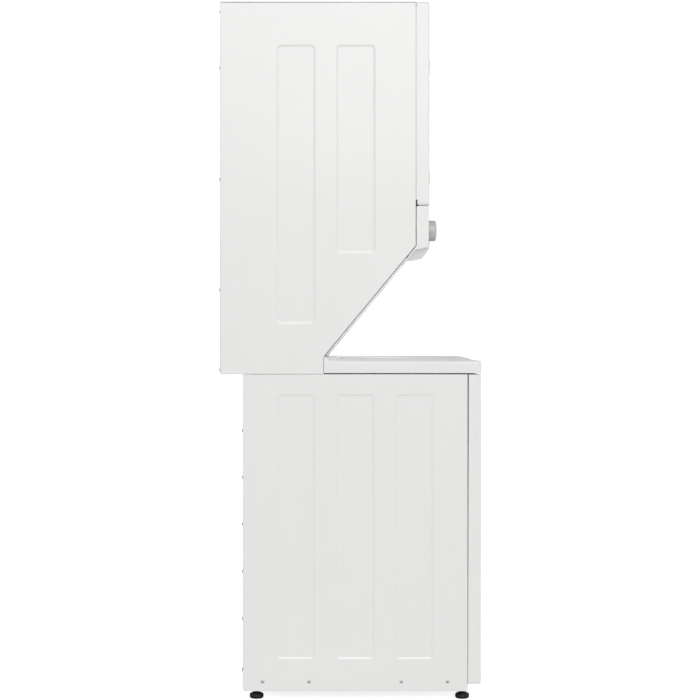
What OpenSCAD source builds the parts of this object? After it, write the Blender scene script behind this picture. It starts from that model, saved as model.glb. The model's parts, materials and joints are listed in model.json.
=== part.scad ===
// Washer dryer stack: a top-loading washer with a front-opening dryer built on top of it.
// Origin: centre of the footprint, on the floor. +Z up, -Y the front, +X the user's right.

/* [Cabinet] */
// Width over the painted side panels
cab_w = 606; // [600:1:612]
// Thickness of the painted sheet
sheet = 1.2; // [1:0.1:1.4]
// Depth of the panels pressed into the side sheets
emboss = 1.8; // [1.5:0.1:3]
// Radius of the corners of the pressed panels
emboss_r = 10; // [8:1:14]

/* [Heights] */
// Underside of the washer cabinet
z_cab = 24; // [23:0.5:25]
// Underside of the washer's front panel
z_wfront = 43; // [40:1:60]
// Top of the washer's side panels
z_wtop = 851; // [848:0.5:851]
// Top of the closed lid
z_lid = 897.5; // [897:0.1:898]
// Top edge of the control panel
z_ctl = 1289.5; // [1286:0.5:1290]
// Top of the dryer
z_top = 1824; // [1822:1:1826]

/* [Dryer] */
// Height of the drum's axis
drum_z = 1545; // [1544:0.5:1546]
// Outer radius of the drum
drum_r = 255; // [252:0.5:255]
// Height of the centre of the door opening
mouth_z = 1528; // [1526:1:1530]
// Radius of the door opening
mouth_r = 172; // [168:1:172]
// Height of the dryer motor's shaft
rotor_z = 1200; // [1199:0.5:1201]
// Outside radius of the exhaust collar
vent_r = 51; // [50:0.1:51]

/* [Washer] */
// Outer radius of the tub
tub_r = 250; // [246:1:250]
// Outer radius of the wash basket
basket_r = 224; // [220:1:224]
// Distance of the tub's axis behind the centre of the footprint
tub_y = -35; // [-36:0.5:-34]
// Height of the agitator's top
agitator_top = 700; // [660:5:720]

/* [Controls] */
// Radius of a control knob
knob_r = 27.9; // [24:0.1:28]
// How far a knob stands out of the panel
knob_h = 21.8; // [18:0.2:22]
// Height of the row of knobs
knob_z = 1230; // [1227:0.5:1232]

/* [Feet] */
// Radius of a levelling foot
foot_r = 18.5; // [16:0.5:19]

/* [Hidden] */
$fn = 72;
hw = cab_w / 2;
yr = 339;            // rear edge of the dryer's side panels
yf = -171.5;         // front edge of the dryer's side panels
yw = 280;            // rear edge of the washer's side panels
ywf = -306.5;        // front edge of the washer's side panels
face = -206.5;       // front face of the dryer
slope = 236.5 / 285; // run of the sloping front per mm of height
slant_top = 1186;
knobs = [-128, -222, 222];
buttons = [-48, 86];
foot_x = 268;
foot_front = -294;
foot_rear = 246;
rod = 212;
base_screw_y = [229, 107.6, -133.5, -253.8];
dryer_screw_z = [862.3, 1072.3, 1360.6, 1652, 1799.4];
washer_screw_z = [79.6, 212.6, 335.8, 459.2, 581.8, 704.4];
hinge_z = [1373, 1663];

white = [0.93, 0.93, 0.92];

// ---- helpers ----
module block(x0, x1, y0, y1, z0, z1) translate([x0, y0, z0]) cube([x1 - x0, y1 - y0, z1 - z0]);
// extrude a (y, z) outline along X
module yz(x0, x1) translate([x0, 0, 0]) rotate([90, 0, 90]) linear_extrude(height = x1 - x0) children();
// extrude an (x, z) outline along Y
module xz(y0, y1) translate([0, y1, 0]) rotate([90, 0, 0]) linear_extrude(height = y1 - y0) children();
module ycyl(r, y0, y1, x = 0, z = 0) translate([x, y1, z]) rotate([90, 0, 0]) cylinder(r = r, h = y1 - y0);
module xcyl(r, x0, x1, y = 0, z = 0) translate([x0, y, z]) rotate([0, 90, 0]) cylinder(r = r, h = x1 - x0);
module zcyl(r, z0, z1, x = 0, y = 0) translate([x, y, z0]) cylinder(r = r, h = z1 - z0);
function arc(cx, cy, r, a0, a1, n) = [for (i = [0:n]) [cx + r * cos(a0 + (a1 - a0) * i / n), cy + r * sin(a0 + (a1 - a0) * i / n)]];
function rrp(x0, x1, y0, y1, r, n = 5) = concat(
  arc(x1 - r, y0 + r, r, -90, 0, n), arc(x1 - r, y1 - r, r, 0, 90, n),
  arc(x0 + r, y1 - r, r, 90, 180, n), arc(x0 + r, y0 + r, r, 180, 270, n));
module rr(x0, x1, y0, y1, r, n = 5) polygon(rrp(x0, x1, y0, y1, r, n));
// outline of a belt round two pulleys, b degrees between the centre line and each tangent point
function loop_pts(c1, r1, c2, r2, n = 60) =
  let (d = c2 - c1, l = norm(d), a = atan2(d[1], d[0]), b = acos((r1 - r2) / l))
  concat(arc(c1[0], c1[1], r1, a + b, a + 360 - b, n), arc(c2[0], c2[1], r2, a - b, a + b, 10));

// ---- side panels ----
module side_sheet(outline, pockets) {
  difference() {
    union() {
      yz(-hw, -hw + sheet) polygon(outline);
      for (p = pockets) yz(-hw, -hw + emboss + sheet) rr(p[0], p[1], p[2], p[3], emboss_r);
      children();
    }
    for (p = pockets) yz(-hw - 1, -hw + emboss)
      rr(p[0] + sheet, p[1] - sheet, p[2] + sheet, p[3] - sheet, emboss_r - sheet);
  }
}
module dryer_side() {
  difference() {
    side_sheet([[yr, 851.5], [yr, z_top - 2.5], [yf, z_top - 2.5], [yf, slant_top + 1.4], [65.7, 901.6], [69, 897.6], [69, 851.5]],
      [[89.6, 193, 982, 1712], [-67, 37, 1166, 1712]]) {
      block(-hw, -hw + 20, yr - sheet, yr, 851.5, z_top - 2.5);
      block(-hw, -hw + 13, yf, yf + sheet, slant_top + 3, z_top - 2.5);
      block(-hw, -hw + 13, yf, yr, z_top - 2.5 - sheet, z_top - 2.5);
      block(-hw, -hw + 13, 69, yr, 851.5, 851.5 + sheet);
    }
    for (z = dryer_screw_z) ycyl(2.2, 330, 345, -291, z);
  }
}
module washer_side() {
  difference() {
    side_sheet([[yw, z_cab], [yw, z_wtop], [ywf, z_wtop], [ywf, z_cab]],
      [for (y = [90, -64.6, -218]) [y, y + 101.8, 107, 800]]) {
      block(-hw, -hw + 20, yw - sheet, yw, z_cab, z_wtop);
      block(-hw, -hw + 13, ywf, ywf + sheet, z_cab, z_wtop);
      block(-hw, -hw + 13, ywf, yw, z_wtop - sheet, z_wtop);
      block(-hw, -hw + 20, ywf, yw, z_cab, z_cab + sheet);
    }
    for (z = washer_screw_z) ycyl(2.2, 270, 290, -291, z);
    for (y = base_screw_y) xcyl(2.2, -hw - 5, -hw + 8, y, 49);
  }
}
module dryer_left_side_panel() color(white) dryer_side();
module dryer_right_side_panel() color(white) mirror([1, 0, 0]) dryer_side();
module washer_left_side_panel() color(white) washer_side();
module washer_right_side_panel() color(white) mirror([1, 0, 0]) washer_side();

// ---- washer cabinet ----
module washer_front_panel() color(white) difference() {
  xz(-340, -308) rr(-hw, hw, z_wfront, z_wtop, 5);
  xz(-340 + sheet, -300) rr(-hw + sheet, hw - sheet, z_wfront + sheet, z_wtop - sheet, 4);
}
module washer_rear_panel() color([0.72, 0.73, 0.74]) difference() {
  union() {
    block(-hw + 6, hw - 6, yw, yw + 1, 30, z_wtop - 5);
    xz(yw - 3, yw + 1) rr(-200, 200, 160, 700, 30);
  }
  xz(yw - 2, yw + 5) rr(-199, 199, 161, 699, 29);
  block(-112, 28, yw - 5, yw + 5, 772, 842);
  ycyl(28, yw - 5, yw + 5, 150, 104);
  for (s = [-1, 1], z = washer_screw_z) ycyl(2.2, yw - 5, yw + 5, s * 291, z);
}
module washer_base_frame() color([0.6, 0.61, 0.62]) difference() {
  union() {
    difference() {
      block(-hw + 1.5, hw - 1.5, -305, 278, 26, 70);
      block(-hw + 3.5, hw - 3.5, -303, 276, 28, 90);
      block(-250, 250, -262, 190, 20, 60);
    }
    for (s = [-1, 1], y = [foot_front, foot_rear]) zcyl(9, 26, 46, s * foot_x, y);
  }
  for (s = [-1, 1], y = [foot_front, foot_rear]) zcyl(5.08, 20, 50, s * foot_x, y);
  for (s = [-1, 1], y = base_screw_y) translate([0, 0, 0]) xcyl(2.2, s * 301 - 4, s * 301 + 4, y, 49);
}
module washer_top_frame() color(white) {
  difference() {
    union() {
      difference() {
        union() { top_form(0); back_form(0); }
        top_form(1.5);
        back_form(1.5);
      }
      // rim turned down round the lid opening
      difference() {
        translate([0, 0, 862]) linear_extrude(height = 30.5) rr(-206.5, 206.5, -286.5, 16.5, 31.5);
        translate([0, 0, 860]) linear_extrude(height = 40) rr(-205, 205, -285, 15, 30);
      }
      // finger pocket
      intersection() {
        top_form(0);
        block(-62, 62, -337.5, -298.5, 876, 894);
      }
      // ears that carry the lid's pins
      for (s = [-1, 1]) yz(s > 0 ? 226 : -236, s > 0 ? 236 : -226) polygon([[26, 893], [26, 896.8], [27, 897.5], [33, 897.5], [34, 896.8], [34, 893]]);
    }
    translate([0, 0, 860]) linear_extrude(height = 50) rr(-205, 205, -285, 15, 30);
    block(-60.5, 60.5, -336, -300, 877.5, 900);
    for (s = [-1, 1]) xcyl(1.56, s > 0 ? 220 : -240, s > 0 ? 240 : -220, 30, 895.9);
  }
}
module top_form(o) intersection() {
  yz(-hw + o, hw - o) polygon([[69 + o, 854 - o * 4], [69 + o, 893.5 - o], [-290 + o * 0.1, 893.5 - o], [-318.5 + o * 0.1, 888.1 - o], [-342 + o, 884.5 - o * 0.9], [-342 + o, 854 - o * 4]]);
  xz(-345, 75) polygon([[-hw + o, 854 - o * 4], [-hw + o, 884.5 - o * 0.8], [-279 + o * 0.2, 893.5 - o], [279 - o * 0.2, 893.5 - o], [hw - o, 884.5 - o * 0.8], [hw - o, 854 - o * 4]]);
}
// raised strip along the back of the top, with a full-height cheek at each end
module back_form(o) {
  intersection() {
    yz(-hw + o, hw - o) polygon([[69 + o, 880], [69 + o, 896.4 - o], [67.6 + o * 0.5, 898 - o], [37 + o * 0.6, 898 - o], [35 + o, 895.6 - o * 0.6], [35 + o, 880]]);
    xz(30, 75) polygon([[-hw + o, 880], [-hw + o, 887 - o * 1.1], [-277 + o * 0.2, 898 - o], [277 - o * 0.2, 898 - o], [hw - o, 887 - o * 1.1], [hw - o, 880]]);
  }
  yz(-hw + o, hw - o) polygon([[69 + o, 880], [69 + o, 896.4 - o], [67.6 + o * 0.5, 898 - o], [66 + o * 0.4, 898 - o], [52.5 + o * 0.4, 884.5 - o], [52.5 + o * 0.4, 880]]);
}
module washer_lid() color(white) {
  difference() {
    union() {
      yz(-225, 225) polygon(concat([[-292, z_lid], [-318, z_lid - 7.1], [-318, z_lid - 8.3], [-317.4, z_lid - 8.7], [-292, z_lid - 2.9]], arc(30, 895.9, 1.6, -90, 90, 6)));
      translate([0, 0, 882]) linear_extrude(height = 12.7) rr(-200, 200, -279, 6, 26);
    }
    translate([0, 0, 881]) linear_extrude(height = 15.1) rr(-198.5, 198.5, -277.5, 4.5, 24.5);
  }
  for (s = [-1, 1]) xcyl(1.5, s > 0 ? 224 : -235, s > 0 ? 235 : -224, 30, 895.9);
}
module suspension_rods() color([0.7, 0.7, 0.72]) for (x = [-rod, rod], y = [-rod, rod]) translate([x, y + tub_y, 0]) {
  zcyl(4, 206, 846.5);
  zcyl(16, 206, 212);
  zcyl(12, 836, 846.5);
  block(x > 0 ? -18 : -87, x > 0 ? 87 : 18, -18, 18, 846, 849.5);
}
module suspension_springs() color([0.35, 0.35, 0.37]) for (x = [-rod, rod], y = [-rod, rod]) translate([x, y + tub_y, 0])
  difference() { zcyl(14, 212, 272); zcyl(9, 211, 273); }
module water_inlet_valve() color([0.92, 0.92, 0.88]) {
  union() {
    block(-96, 12, 226, 250, 790, 830);
    for (x = [-70, -14]) ycyl(13.4, 244, 276, x, 810);
    block(-54, -30, 226, 240, 829, 848.5);
    block(-54, -30, 120, 240, 841.5, 848.5);
  }
}
module drain_pump() color([0.2, 0.2, 0.22]) difference() {
  union() {
    zcyl(33, 28, 122, 150, 206);
    ycyl(13, 222, 250, 150, 104);
    ycyl(11, 248, 276, 150, 104);
  }
  ycyl(8.5, 215, 280, 150, 104);
}

// ---- dryer cabinet ----
module dryer_top_panel() color(white) difference() {
  block(-hw + 0.5, hw - 0.5, -172, yr, z_top - 1.7, z_top);
  block(-hw + 0.5 + sheet, hw - 0.5 - sheet, -172 + sheet, yr - sheet, z_top - 4, z_top - sheet);
}
module dryer_rear_panel() color([0.72, 0.73, 0.74]) difference() {
  block(-hw + 5, hw - 5, yr, yr + 1, 857, z_top - 7);
  ycyl(vent_r + 2, yr - 5, yr + 5, 130, 935);
  for (s = [-1, 1], z = dryer_screw_z) ycyl(2.2, yr - 5, yr + 5, s * 291, z);
  for (i = [0:7]) block(-60, 60, yr - 5, yr + 5, 1090 + i * 16, 1096 + i * 16);
}
module dryer_floor_pan() color([0.6, 0.61, 0.62]) difference() {
  block(-300, 300, 70.5, 329, 853, 866);
  block(-298.5, 298.5, 72, 327.5, 854.5, 870);
}
module dryer_front_panel() color(white) difference() {
  union() {
    difference() {
      xz(face, -173) rr(-hw, hw, 1292, z_top - 1, 6);
      xz(face + sheet, -170) rr(-hw + sheet, hw - sheet, 1292 + sheet, z_top - 1 - sheet, 5);
    }
    xz(face, -184) rr(-218 - sheet, 218 + sheet, 1305 - sheet, 1715 + sheet, 27);
  }
  xz(face - 5, -185.2) rr(-218, 218, 1305, 1715, 26);
  ycyl(mouth_r, -190, -180, 0, mouth_z);
}
module control_panel() color(white) difference() {
  yz(-hw, hw) polygon([[-173, z_ctl], [-201, z_ctl], [-204, z_ctl - 1.5], [-206, z_ctl - 5.5], [-206.6, 1270], [-206.6, 1190],
    [-206.3, 1187.6], [-205.7, 1185], [-204.5, 1182.4], [-202.3, 1180.4], [-199.3, 1179.5], [-176, 1174.7],
    [-168.6, 1173.2], [-165.6, 1172.2], [-163.6, 1170.6], [-150.8, 1156.4], [-148.78, 1158.07], [-171.8, 1185.8], [-173, 1187.3]]);
  yz(-hw + 2.5, hw - 2.5) polygon([[-160, z_ctl - 2.5], [-200, z_ctl - 2.5], [-203.6, 1282], [-204, 1270], [-204, 1190], [-203.7, 1188],
    [-203.1, 1185.8], [-202.3, 1184.2], [-200.9, 1182.9], [-198.8, 1182], [-175.6, 1177.2], [-164.6, 1175], [-160, 1175]]);
  for (x = knobs) ycyl(3.5, -210, -200, x, knob_z);
  for (x = buttons) ycyl(9.4, -210, -200, x, knob_z);
}
// the slope between the control panel and the washer's top
module slanted_panel() color(white) {
  n = [-0.7697, -0.6387];
  a = [yf, slant_top];
  u = [0.6387, -0.7697];
  difference() {
    yz(-hw + 1, hw - 1) polygon([a + u * 38 + n * 0.4, a + u * 38 + n * 2.6, a + u * 371 + n * 2.6, a + u * 371 + n * 0.4]);
    yz(-hw + 1 + sheet, hw - 1 - sheet) polygon([a + u * 39.2 - n * 2, a + u * 39.2 + n * 1.4, a + u * 369.8 + n * 1.4, a + u * 369.8 - n * 2]);
  }
}
module front_bulkhead() color([0.75, 0.76, 0.77]) difference() {
  union() {
    xz(-122, -120.8) rr(-298, 298, 1262, z_top - 8, 4);
    ycyl(194, -183.5, -105, 0, drum_z);
  }
  ycyl(192, -190, -100, 0, drum_z);
  block(-88, 88, -145, -127, 1340, 1390);
}
module rear_bulkhead() color([0.75, 0.76, 0.77]) difference() {
  union() {
    xz(304, 305.2) rr(-298, 298, 1262, z_top - 8, 4);
    ycyl(26, 304, 326, 0, drum_z);
  }
  ycyl(12.06, 300, 330, 0, drum_z);
}
module heater_housing() color([0.66, 0.67, 0.68]) difference() {
  block(60, 220, 306, 335, 1290, 1700);
  block(61.2, 218.8, 307.2, 333.8, 1291.2, 1698.8);
  block(100, 180, 300, 310, 1320, 1670);
}
module lint_duct() color([0.3, 0.31, 0.33]) difference() {
  union() {
    block(-92, 92, -149, -123, 1166, 1375);
    block(-72, 72, -149, -52, 1166, 1246);
  }
  block(-90.5, 90.5, -147.5, -124.5, 1167.5, 1400);
  block(-70.5, 70.5, -140, -53.5, 1167.5, 1244.5);
  ycyl(32, -60, -40, 0, rotor_z + 5);
  ycyl(194.5, -160, -100, 0, drum_z);
}
module blower_housing() color([0.3, 0.31, 0.33]) difference() {
  union() {
    ycyl(80, -50, 12, 0, rotor_z);
    block(50, 185, -50, 12, 1126, 1190);
    block(75, 185, 11, 208, 1126, 1190);
  }
  ycyl(78, -48, 10, 0, rotor_z);
  block(45, 183, -48, 10, 1128, 1188);
  block(77, 183, 5, 206, 1128, 1188);
  block(78, 182, 100, 206, 1120, 1130);
  ycyl(32, -60, -45, 0, rotor_z + 5);
  ycyl(7, 5, 20, 0, rotor_z);
}
module exhaust_duct() color([0.75, 0.76, 0.77]) difference() {
  union() {
    block(76, 184, 98, 208, 878, 1125.5);
    ycyl(vent_r, 206, 340, 130, 935);
  }
  block(77.2, 182.8, 99.2, 206.8, 879.2, 1130);
  ycyl(vent_r - 1.2, 200, 345, 130, 935);
}
module dryer_motor() color([0.4, 0.41, 0.43]) difference() {
  union() {
    ycyl(56, 40, 180, 0, rotor_z);
    block(-60, 60, 78, 186, 1108, 1150);
    block(-60, -57, 80, 184, 854.6, 1110);
    block(57, 60, 80, 184, 854.6, 1110);
    block(36, 52, 150, 188, 1190, 1216);
    block(36, 96, 184, 188, 1200, 1247);
    ycyl(4, 186, 224, idler_c[0], idler_c[1]);
  }
  block(-57, 57, 70, 190, 1100, 1140);
  ycyl(6.06, 30, 190, 0, rotor_z);
}
belt_r1 = drum_r + 0.4;
belt_r2 = 12.4;
belt_b = acos((belt_r1 - belt_r2) / (drum_z - rotor_z));
belt_n = [sin(belt_b), -cos(belt_b)];
belt_p = [0, rotor_z] + belt_n * belt_r2 + 0.35 * ([0, drum_z - rotor_z] + belt_n * (belt_r1 - belt_r2));
idler_c = belt_p + belt_n * (2.5 + 0.3 + 20);
module dryer_belt() color([0.12, 0.12, 0.13]) difference() {
  xz(200, 218) polygon(loop_pts([0, drum_z], belt_r1 + 2.5, [0, rotor_z], belt_r2 + 2.5, 72));
  xz(199, 219) polygon(loop_pts([0, drum_z], belt_r1, [0, rotor_z], belt_r2, 72));
}
module control_switches() color([0.25, 0.25, 0.27]) {
  for (x = knobs) difference() {
    union() { ycyl(19, -203.5, -178, x, knob_z); block(x - 24, x + 24, -186, -178, knob_z - 10, knob_z + 10); }
    ycyl(3.06, -210, -183, x, knob_z);
  }
  for (x = buttons) block(x - 12, x + 12, -195, -178, knob_z - 12, knob_z + 12);
}
module hinge_plates() color(white) for (z = hinge_z) {
  // leaves on the hinge side, with their knuckles, and blanks that cover the holes of the other side
  difference() {
    union() {
      block(219, 243, -209.6, -206.5, z - 18, z + 18);
      ycylz(2.1, z - 18, z - 7, 216.5, -208.7);
      ycylz(2.1, z + 7, z + 18, 216.5, -208.7);
      block(216.5, 220, -209.6, -207.8, z - 18, z - 7);
      block(216.5, 220, -209.6, -207.8, z + 7, z + 18);
    }
    zcyl(1.06, z - 20, z + 20, 216.5, -208.7);
  }
  block(-243, -219.5, -211.2, -206.5, z - 18, z + 18);
}
module ycylz(r, z0, z1, x, y) zcyl(r, z0, z1, x, y);
module terminal_block_cover() color([0.72, 0.73, 0.74]) difference() {
  block(-230, -140, yr + 1, yr + 2.6, 890, 990);
  ycyl(13, yr - 2, yr + 5, -185, 912);
}
module cabinet_screws() color([0.55, 0.55, 0.56]) {
  for (s = [-1, 1], z = dryer_screw_z) { ycyl(4.2, yr + 1, yr + 3, s * 291, z); ycyl(2, yr - 8, yr + 1.5, s * 291, z); }
  for (s = [-1, 1], z = washer_screw_z) { ycyl(4.2, yw + 1, yw + 3, s * 291, z); ycyl(2, yw - 8, yw + 1.5, s * 291, z); }
  for (s = [-1, 1], y = base_screw_y) { xcyl(4, s > 0 ? hw : -hw - 2, s > 0 ? hw + 2 : -hw, y, 49); xcyl(2, s > 0 ? hw - 8 : -hw - 1, s > 0 ? hw + 1 : -hw + 8, y, 49); }
}

// ---- dryer door ----
module dryer_door_outer() color(white) difference() {
  union() {
    difference() {
      xz(face, -189) rr(-215, 215, 1308, 1712, 23);
      xz(face + sheet, -180) rr(-215 + sheet, 215 - sheet, 1308 + sheet, 1712 - sheet, 22);
    }
    xz(face, -192.8) rr(-206, -172, 1453, 1567, 12);
  }
  xz(face - 5, -194) rr(-204.8, -173.2, 1454.2, 1565.8, 11);
}
module dryer_door_inner() color([0.8, 0.81, 0.82]) difference() {
  union() {
    xz(-190.4, -189.2) rr(-213.2, 213.2, 1309.8, 1710.2, 21);
    ycyl(158, -190.4, -150, 0, mouth_z);
  }
  ycyl(156.5, -195, -151.5, 0, mouth_z);
}
module dryer_door_seal() color([0.45, 0.46, 0.47]) difference() {
  ycyl(181, -189.2, -185.6, 0, mouth_z);
  ycyl(173, -195, -180, 0, mouth_z);
}
module door_hinge_leaves() color([0.7, 0.7, 0.72]) for (z = hinge_z) {
  zcyl(1, z - 18, z + 18, 216.5, -208.7);
  difference() {
    union() {
      zcyl(2.1, z - 6.7, z + 6.7, 216.5, -208.7);
      block(196, 216.5, -208.3, -206.5, z - 6.7, z + 6.7);
    }
    zcyl(1, z - 20, z + 20, 216.5, -208.7);
  }
}

// ---- drum and drive ----
module dryer_drum() color([0.82, 0.83, 0.84]) difference() {
  union() {
    difference() {
      ycyl(drum_r, -112, 296, 0, drum_z);
      ycyl(drum_r - 1.2, -110.8, 294.8, 0, drum_z);
      ycyl(197, -120, -100, 0, drum_z);
    }
    ycyl(12, 290, 324, 0, drum_z);
    ycyl(60, 290, 300, 0, drum_z);
  }
}
module drum_baffles() color([0.85, 0.86, 0.86]) intersection() {
  ycyl(drum_r - 1.3, -100, 285, 0, drum_z);
  for (a = [90, 210, 330]) translate([0, 0, drum_z]) rotate([0, a, 0]) translate([0, 0, -drum_z])
    xz(-100, 285) polygon([[198, drum_z - 9], [200, drum_z - 12], [232, drum_z - 22], [256, drum_z - 38], [256, drum_z + 38], [232, drum_z + 22], [200, drum_z + 12], [198, drum_z + 9]]);
}
module dryer_motor_shaft() color([0.7, 0.7, 0.72]) union() {
  ycyl(6, -40, 226, 0, rotor_z);
  ycyl(12, 200, 218, 0, rotor_z);
  ycyl(15, 196.5, 199.5, 0, rotor_z);
}
module blower_wheel() color([0.85, 0.85, 0.82]) difference() {
  union() {
    ycyl(70, 2, 5, 0, rotor_z);
    ycyl(14, -42, 5, 0, rotor_z);
    difference() { ycyl(70, -44, -41, 0, rotor_z); ycyl(36, -50, -30, 0, rotor_z); }
    for (i = [0:11]) translate([0, 0, rotor_z]) rotate([0, i * 30, 0]) block(50, 69, -43, 4, -1.2, 1.2);
  }
  ycyl(6, -38, 20, 0, rotor_z);
  ycyl(6.2, -50, -38, 0, rotor_z);
}
module idler_wheel() color([0.9, 0.9, 0.88]) difference() {
  ycyl(20, 200, 218, idler_c[0], idler_c[1]);
  ycyl(4.06, 190, 230, idler_c[0], idler_c[1]);
}
module lint_screen() color([0.55, 0.56, 0.58]) difference() {
  union() {
    block(-85, 85, -142, -131, 1200, 1341);
    block(-60, 60, -142, -131, 1340, 1347);
  }
  block(-79, 79, -139.8, -133.2, 1206, 1333);
  for (i = [0:5]) block(-76 + i * 26, -54 + i * 26, -150, -120, 1210, 1328);
}

// ---- tub, basket and drive ----
module washer_tub() color([0.9, 0.9, 0.89]) translate([0, tub_y, 0]) difference() {
  union() {
    zcyl(tub_r, 212, 820);
    for (a = [45:90:315]) rotate([0, 0, a]) block(235, 316, -16, 16, 272, 282);
  }
  zcyl(tub_r - 4, 218, 830);
  zcyl(30, 200, 230);
  for (x = [-rod, rod], y = [-rod, rod]) zcyl(6.5, 260, 290, x, y);
}
module tub_ring() color([0.9, 0.9, 0.89]) translate([0, tub_y, 0]) difference() {
  union() {
    zcyl(tub_r + 3, 808, 824);
    zcyl(188, 813, 828);
  }
  difference() { zcyl(tub_r + 0.3, 800, 820); zcyl(188, 790, 830); }
  zcyl(185.5, 800, 840);
}
module wash_basket() color([0.86, 0.87, 0.88]) translate([0, tub_y, 0]) difference() {
  union() {
    difference() { zcyl(basket_r, 240, 780); zcyl(basket_r - 1.2, 244, 790); }
    zcyl(46, 232, 248);
    zcyl(20, 140, 246);
  }
  zcyl(12.1, 130, 260);
}
module balance_ring() color([0.93, 0.93, 0.92]) translate([0, tub_y, 0]) difference() {
  zcyl(basket_r + 2, 780, 806);
  zcyl(188, 770, 810);
}
module agitator() color([0.93, 0.93, 0.92]) translate([0, tub_y, 0]) difference() {
  union() {
    rotate_extrude() polygon([[0, 252], [150, 252], [152, 256], [150, 260], [110, 272], [70, 300], [50, 340], [44, 400], [40, agitator_top - 40], [38, agitator_top - 12], [32, agitator_top - 4], [20, agitator_top], [0, agitator_top]]);
    for (a = [0:90:270]) rotate([0, 0, a]) translate([0, 4, 0]) rotate([90, 0, 0]) linear_extrude(height = 8)
      polygon([[30, 256], [142, 256], [140, 275], [118, 300], [96, 350], [78, 430], [62, 520], [30, 560]]);
  }
  zcyl(32, 262, agitator_top - 20);
  zcyl(12.05, 240, 270);
}
module washer_drive_pulley() color([0.5, 0.51, 0.53]) translate([0, tub_y, 0]) union() {
  zcyl(75, 100, 110);
  zcyl(78, 97, 99.5);
  zcyl(78, 110.5, 113);
  zcyl(24, 92, 116);
  zcyl(12, 92, 275);
}
module gearcase() color([0.45, 0.46, 0.48]) translate([0, tub_y, 0]) difference() {
  union() {
    zcyl(62, 122, 206);
    zcyl(90, 206, 212);
    zcyl(29.5, 206, 226);
  }
  zcyl(20.06, 136, 240);
  zcyl(14, 110, 140);
}
mot = [-140, 105];
module washer_motor() color([0.4, 0.41, 0.43]) translate([mot[0], mot[1] + tub_y, 0]) difference() {
  union() {
    zcyl(55, 120, 206);
    block(-62, 45, -62, 62, 206, 211.8);
  }
  zcyl(7.06, 110, 195);
}
module washer_motor_pulley() color([0.6, 0.6, 0.62]) translate([mot[0], mot[1] + tub_y, 0]) {
  union() {
    zcyl(15, 99.5, 110.5);
    zcyl(7, 97, 190);
    zcyl(18, 97, 99.5);
  }
}
module washer_belt() color([0.12, 0.12, 0.13]) difference() {
  translate([0, tub_y, 100.2]) linear_extrude(height = 9.6) polygon(loop_pts([0, 0], 79.4, mot, 19.4, 60));
  translate([0, tub_y, 99]) linear_extrude(height = 13) polygon(loop_pts([0, 0], 75.4, mot, 15.4, 60));
}

// ---- controls ----
module knob(x, r, h) color([0.74, 0.75, 0.76]) union() {
  translate([x, -207.2, knob_z]) rotate([90, 0, 0]) rotate_extrude() polygon([[0, 0], [r, 0], [r, h - 5.6], [r - 0.8, h - 4], [r - 3, h - 2.6], [r * 0.7, h - 1.3], [r * 0.4, h - 0.4], [0, h]]);
  ycyl(3, -208, -184, x, knob_z);
}
module wash_temperature_knob() knob(knobs[0], 20.5, 17);
module wash_cycle_knob() knob(knobs[1], knob_r, knob_h);
module dry_cycle_knob() knob(knobs[2], knob_r, knob_h);
module button(x) color([0.74, 0.75, 0.76]) union() {
  ycyl(9, -211, -201, x, knob_z);
  ycyl(11, -203.6, -200, x, knob_z);
}
module wash_start_button() button(buttons[0]);
module dry_start_button() button(buttons[1]);

// ---- feet ----
module foot(x, y) color([0.06, 0.06, 0.065]) translate([x, y, 0]) union() {
  rotate_extrude() polygon([[0, 0], [11, 0], [15.5, 1.2], [foot_r - 0.8, 3.6], [foot_r, 6.5], [foot_r, 11], [foot_r - 1.1, 13], [11.8, 16.2], [6.6, 16.8], [6.6, 19.5], [0, 19.5]]);
  zcyl(5, 15, 62);
}
module front_left_foot() foot(-foot_x, foot_front);
module front_right_foot() foot(foot_x, foot_front);
module rear_left_foot() foot(-foot_x, foot_rear);
module rear_right_foot() foot(foot_x, foot_rear);

washer_left_side_panel();
washer_right_side_panel();
washer_front_panel();
washer_rear_panel();
washer_base_frame();
washer_top_frame();
suspension_rods();
suspension_springs();
water_inlet_valve();
drain_pump();
dryer_left_side_panel();
dryer_right_side_panel();
dryer_top_panel();
dryer_rear_panel();
dryer_floor_pan();
dryer_front_panel();
control_panel();
slanted_panel();
front_bulkhead();
rear_bulkhead();
heater_housing();
lint_duct();
blower_housing();
exhaust_duct();
dryer_motor();
dryer_belt();
control_switches();
hinge_plates();
terminal_block_cover();
cabinet_screws();
dryer_door_outer();
dryer_door_inner();
dryer_door_seal();
door_hinge_leaves();
dryer_drum();
drum_baffles();
blower_wheel();
dryer_motor_shaft();
idler_wheel();
lint_screen();
washer_lid();
wash_basket();
balance_ring();
agitator();
washer_drive_pulley();
washer_tub();
tub_ring();
gearcase();
washer_motor();
washer_motor_pulley();
washer_belt();
wash_cycle_knob();
wash_temperature_knob();
dry_cycle_knob();
wash_start_button();
dry_start_button();
front_left_foot();
front_right_foot();
rear_left_foot();
rear_right_foot();
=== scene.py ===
"""Looks for the washer dryer stack: detailed meshes, procedural materials, light and camera."""

import bpy
import bmesh
import json
import math
from mathutils import Vector, Matrix
from mathutils.geometry import delaunay_2d_cdt


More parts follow.
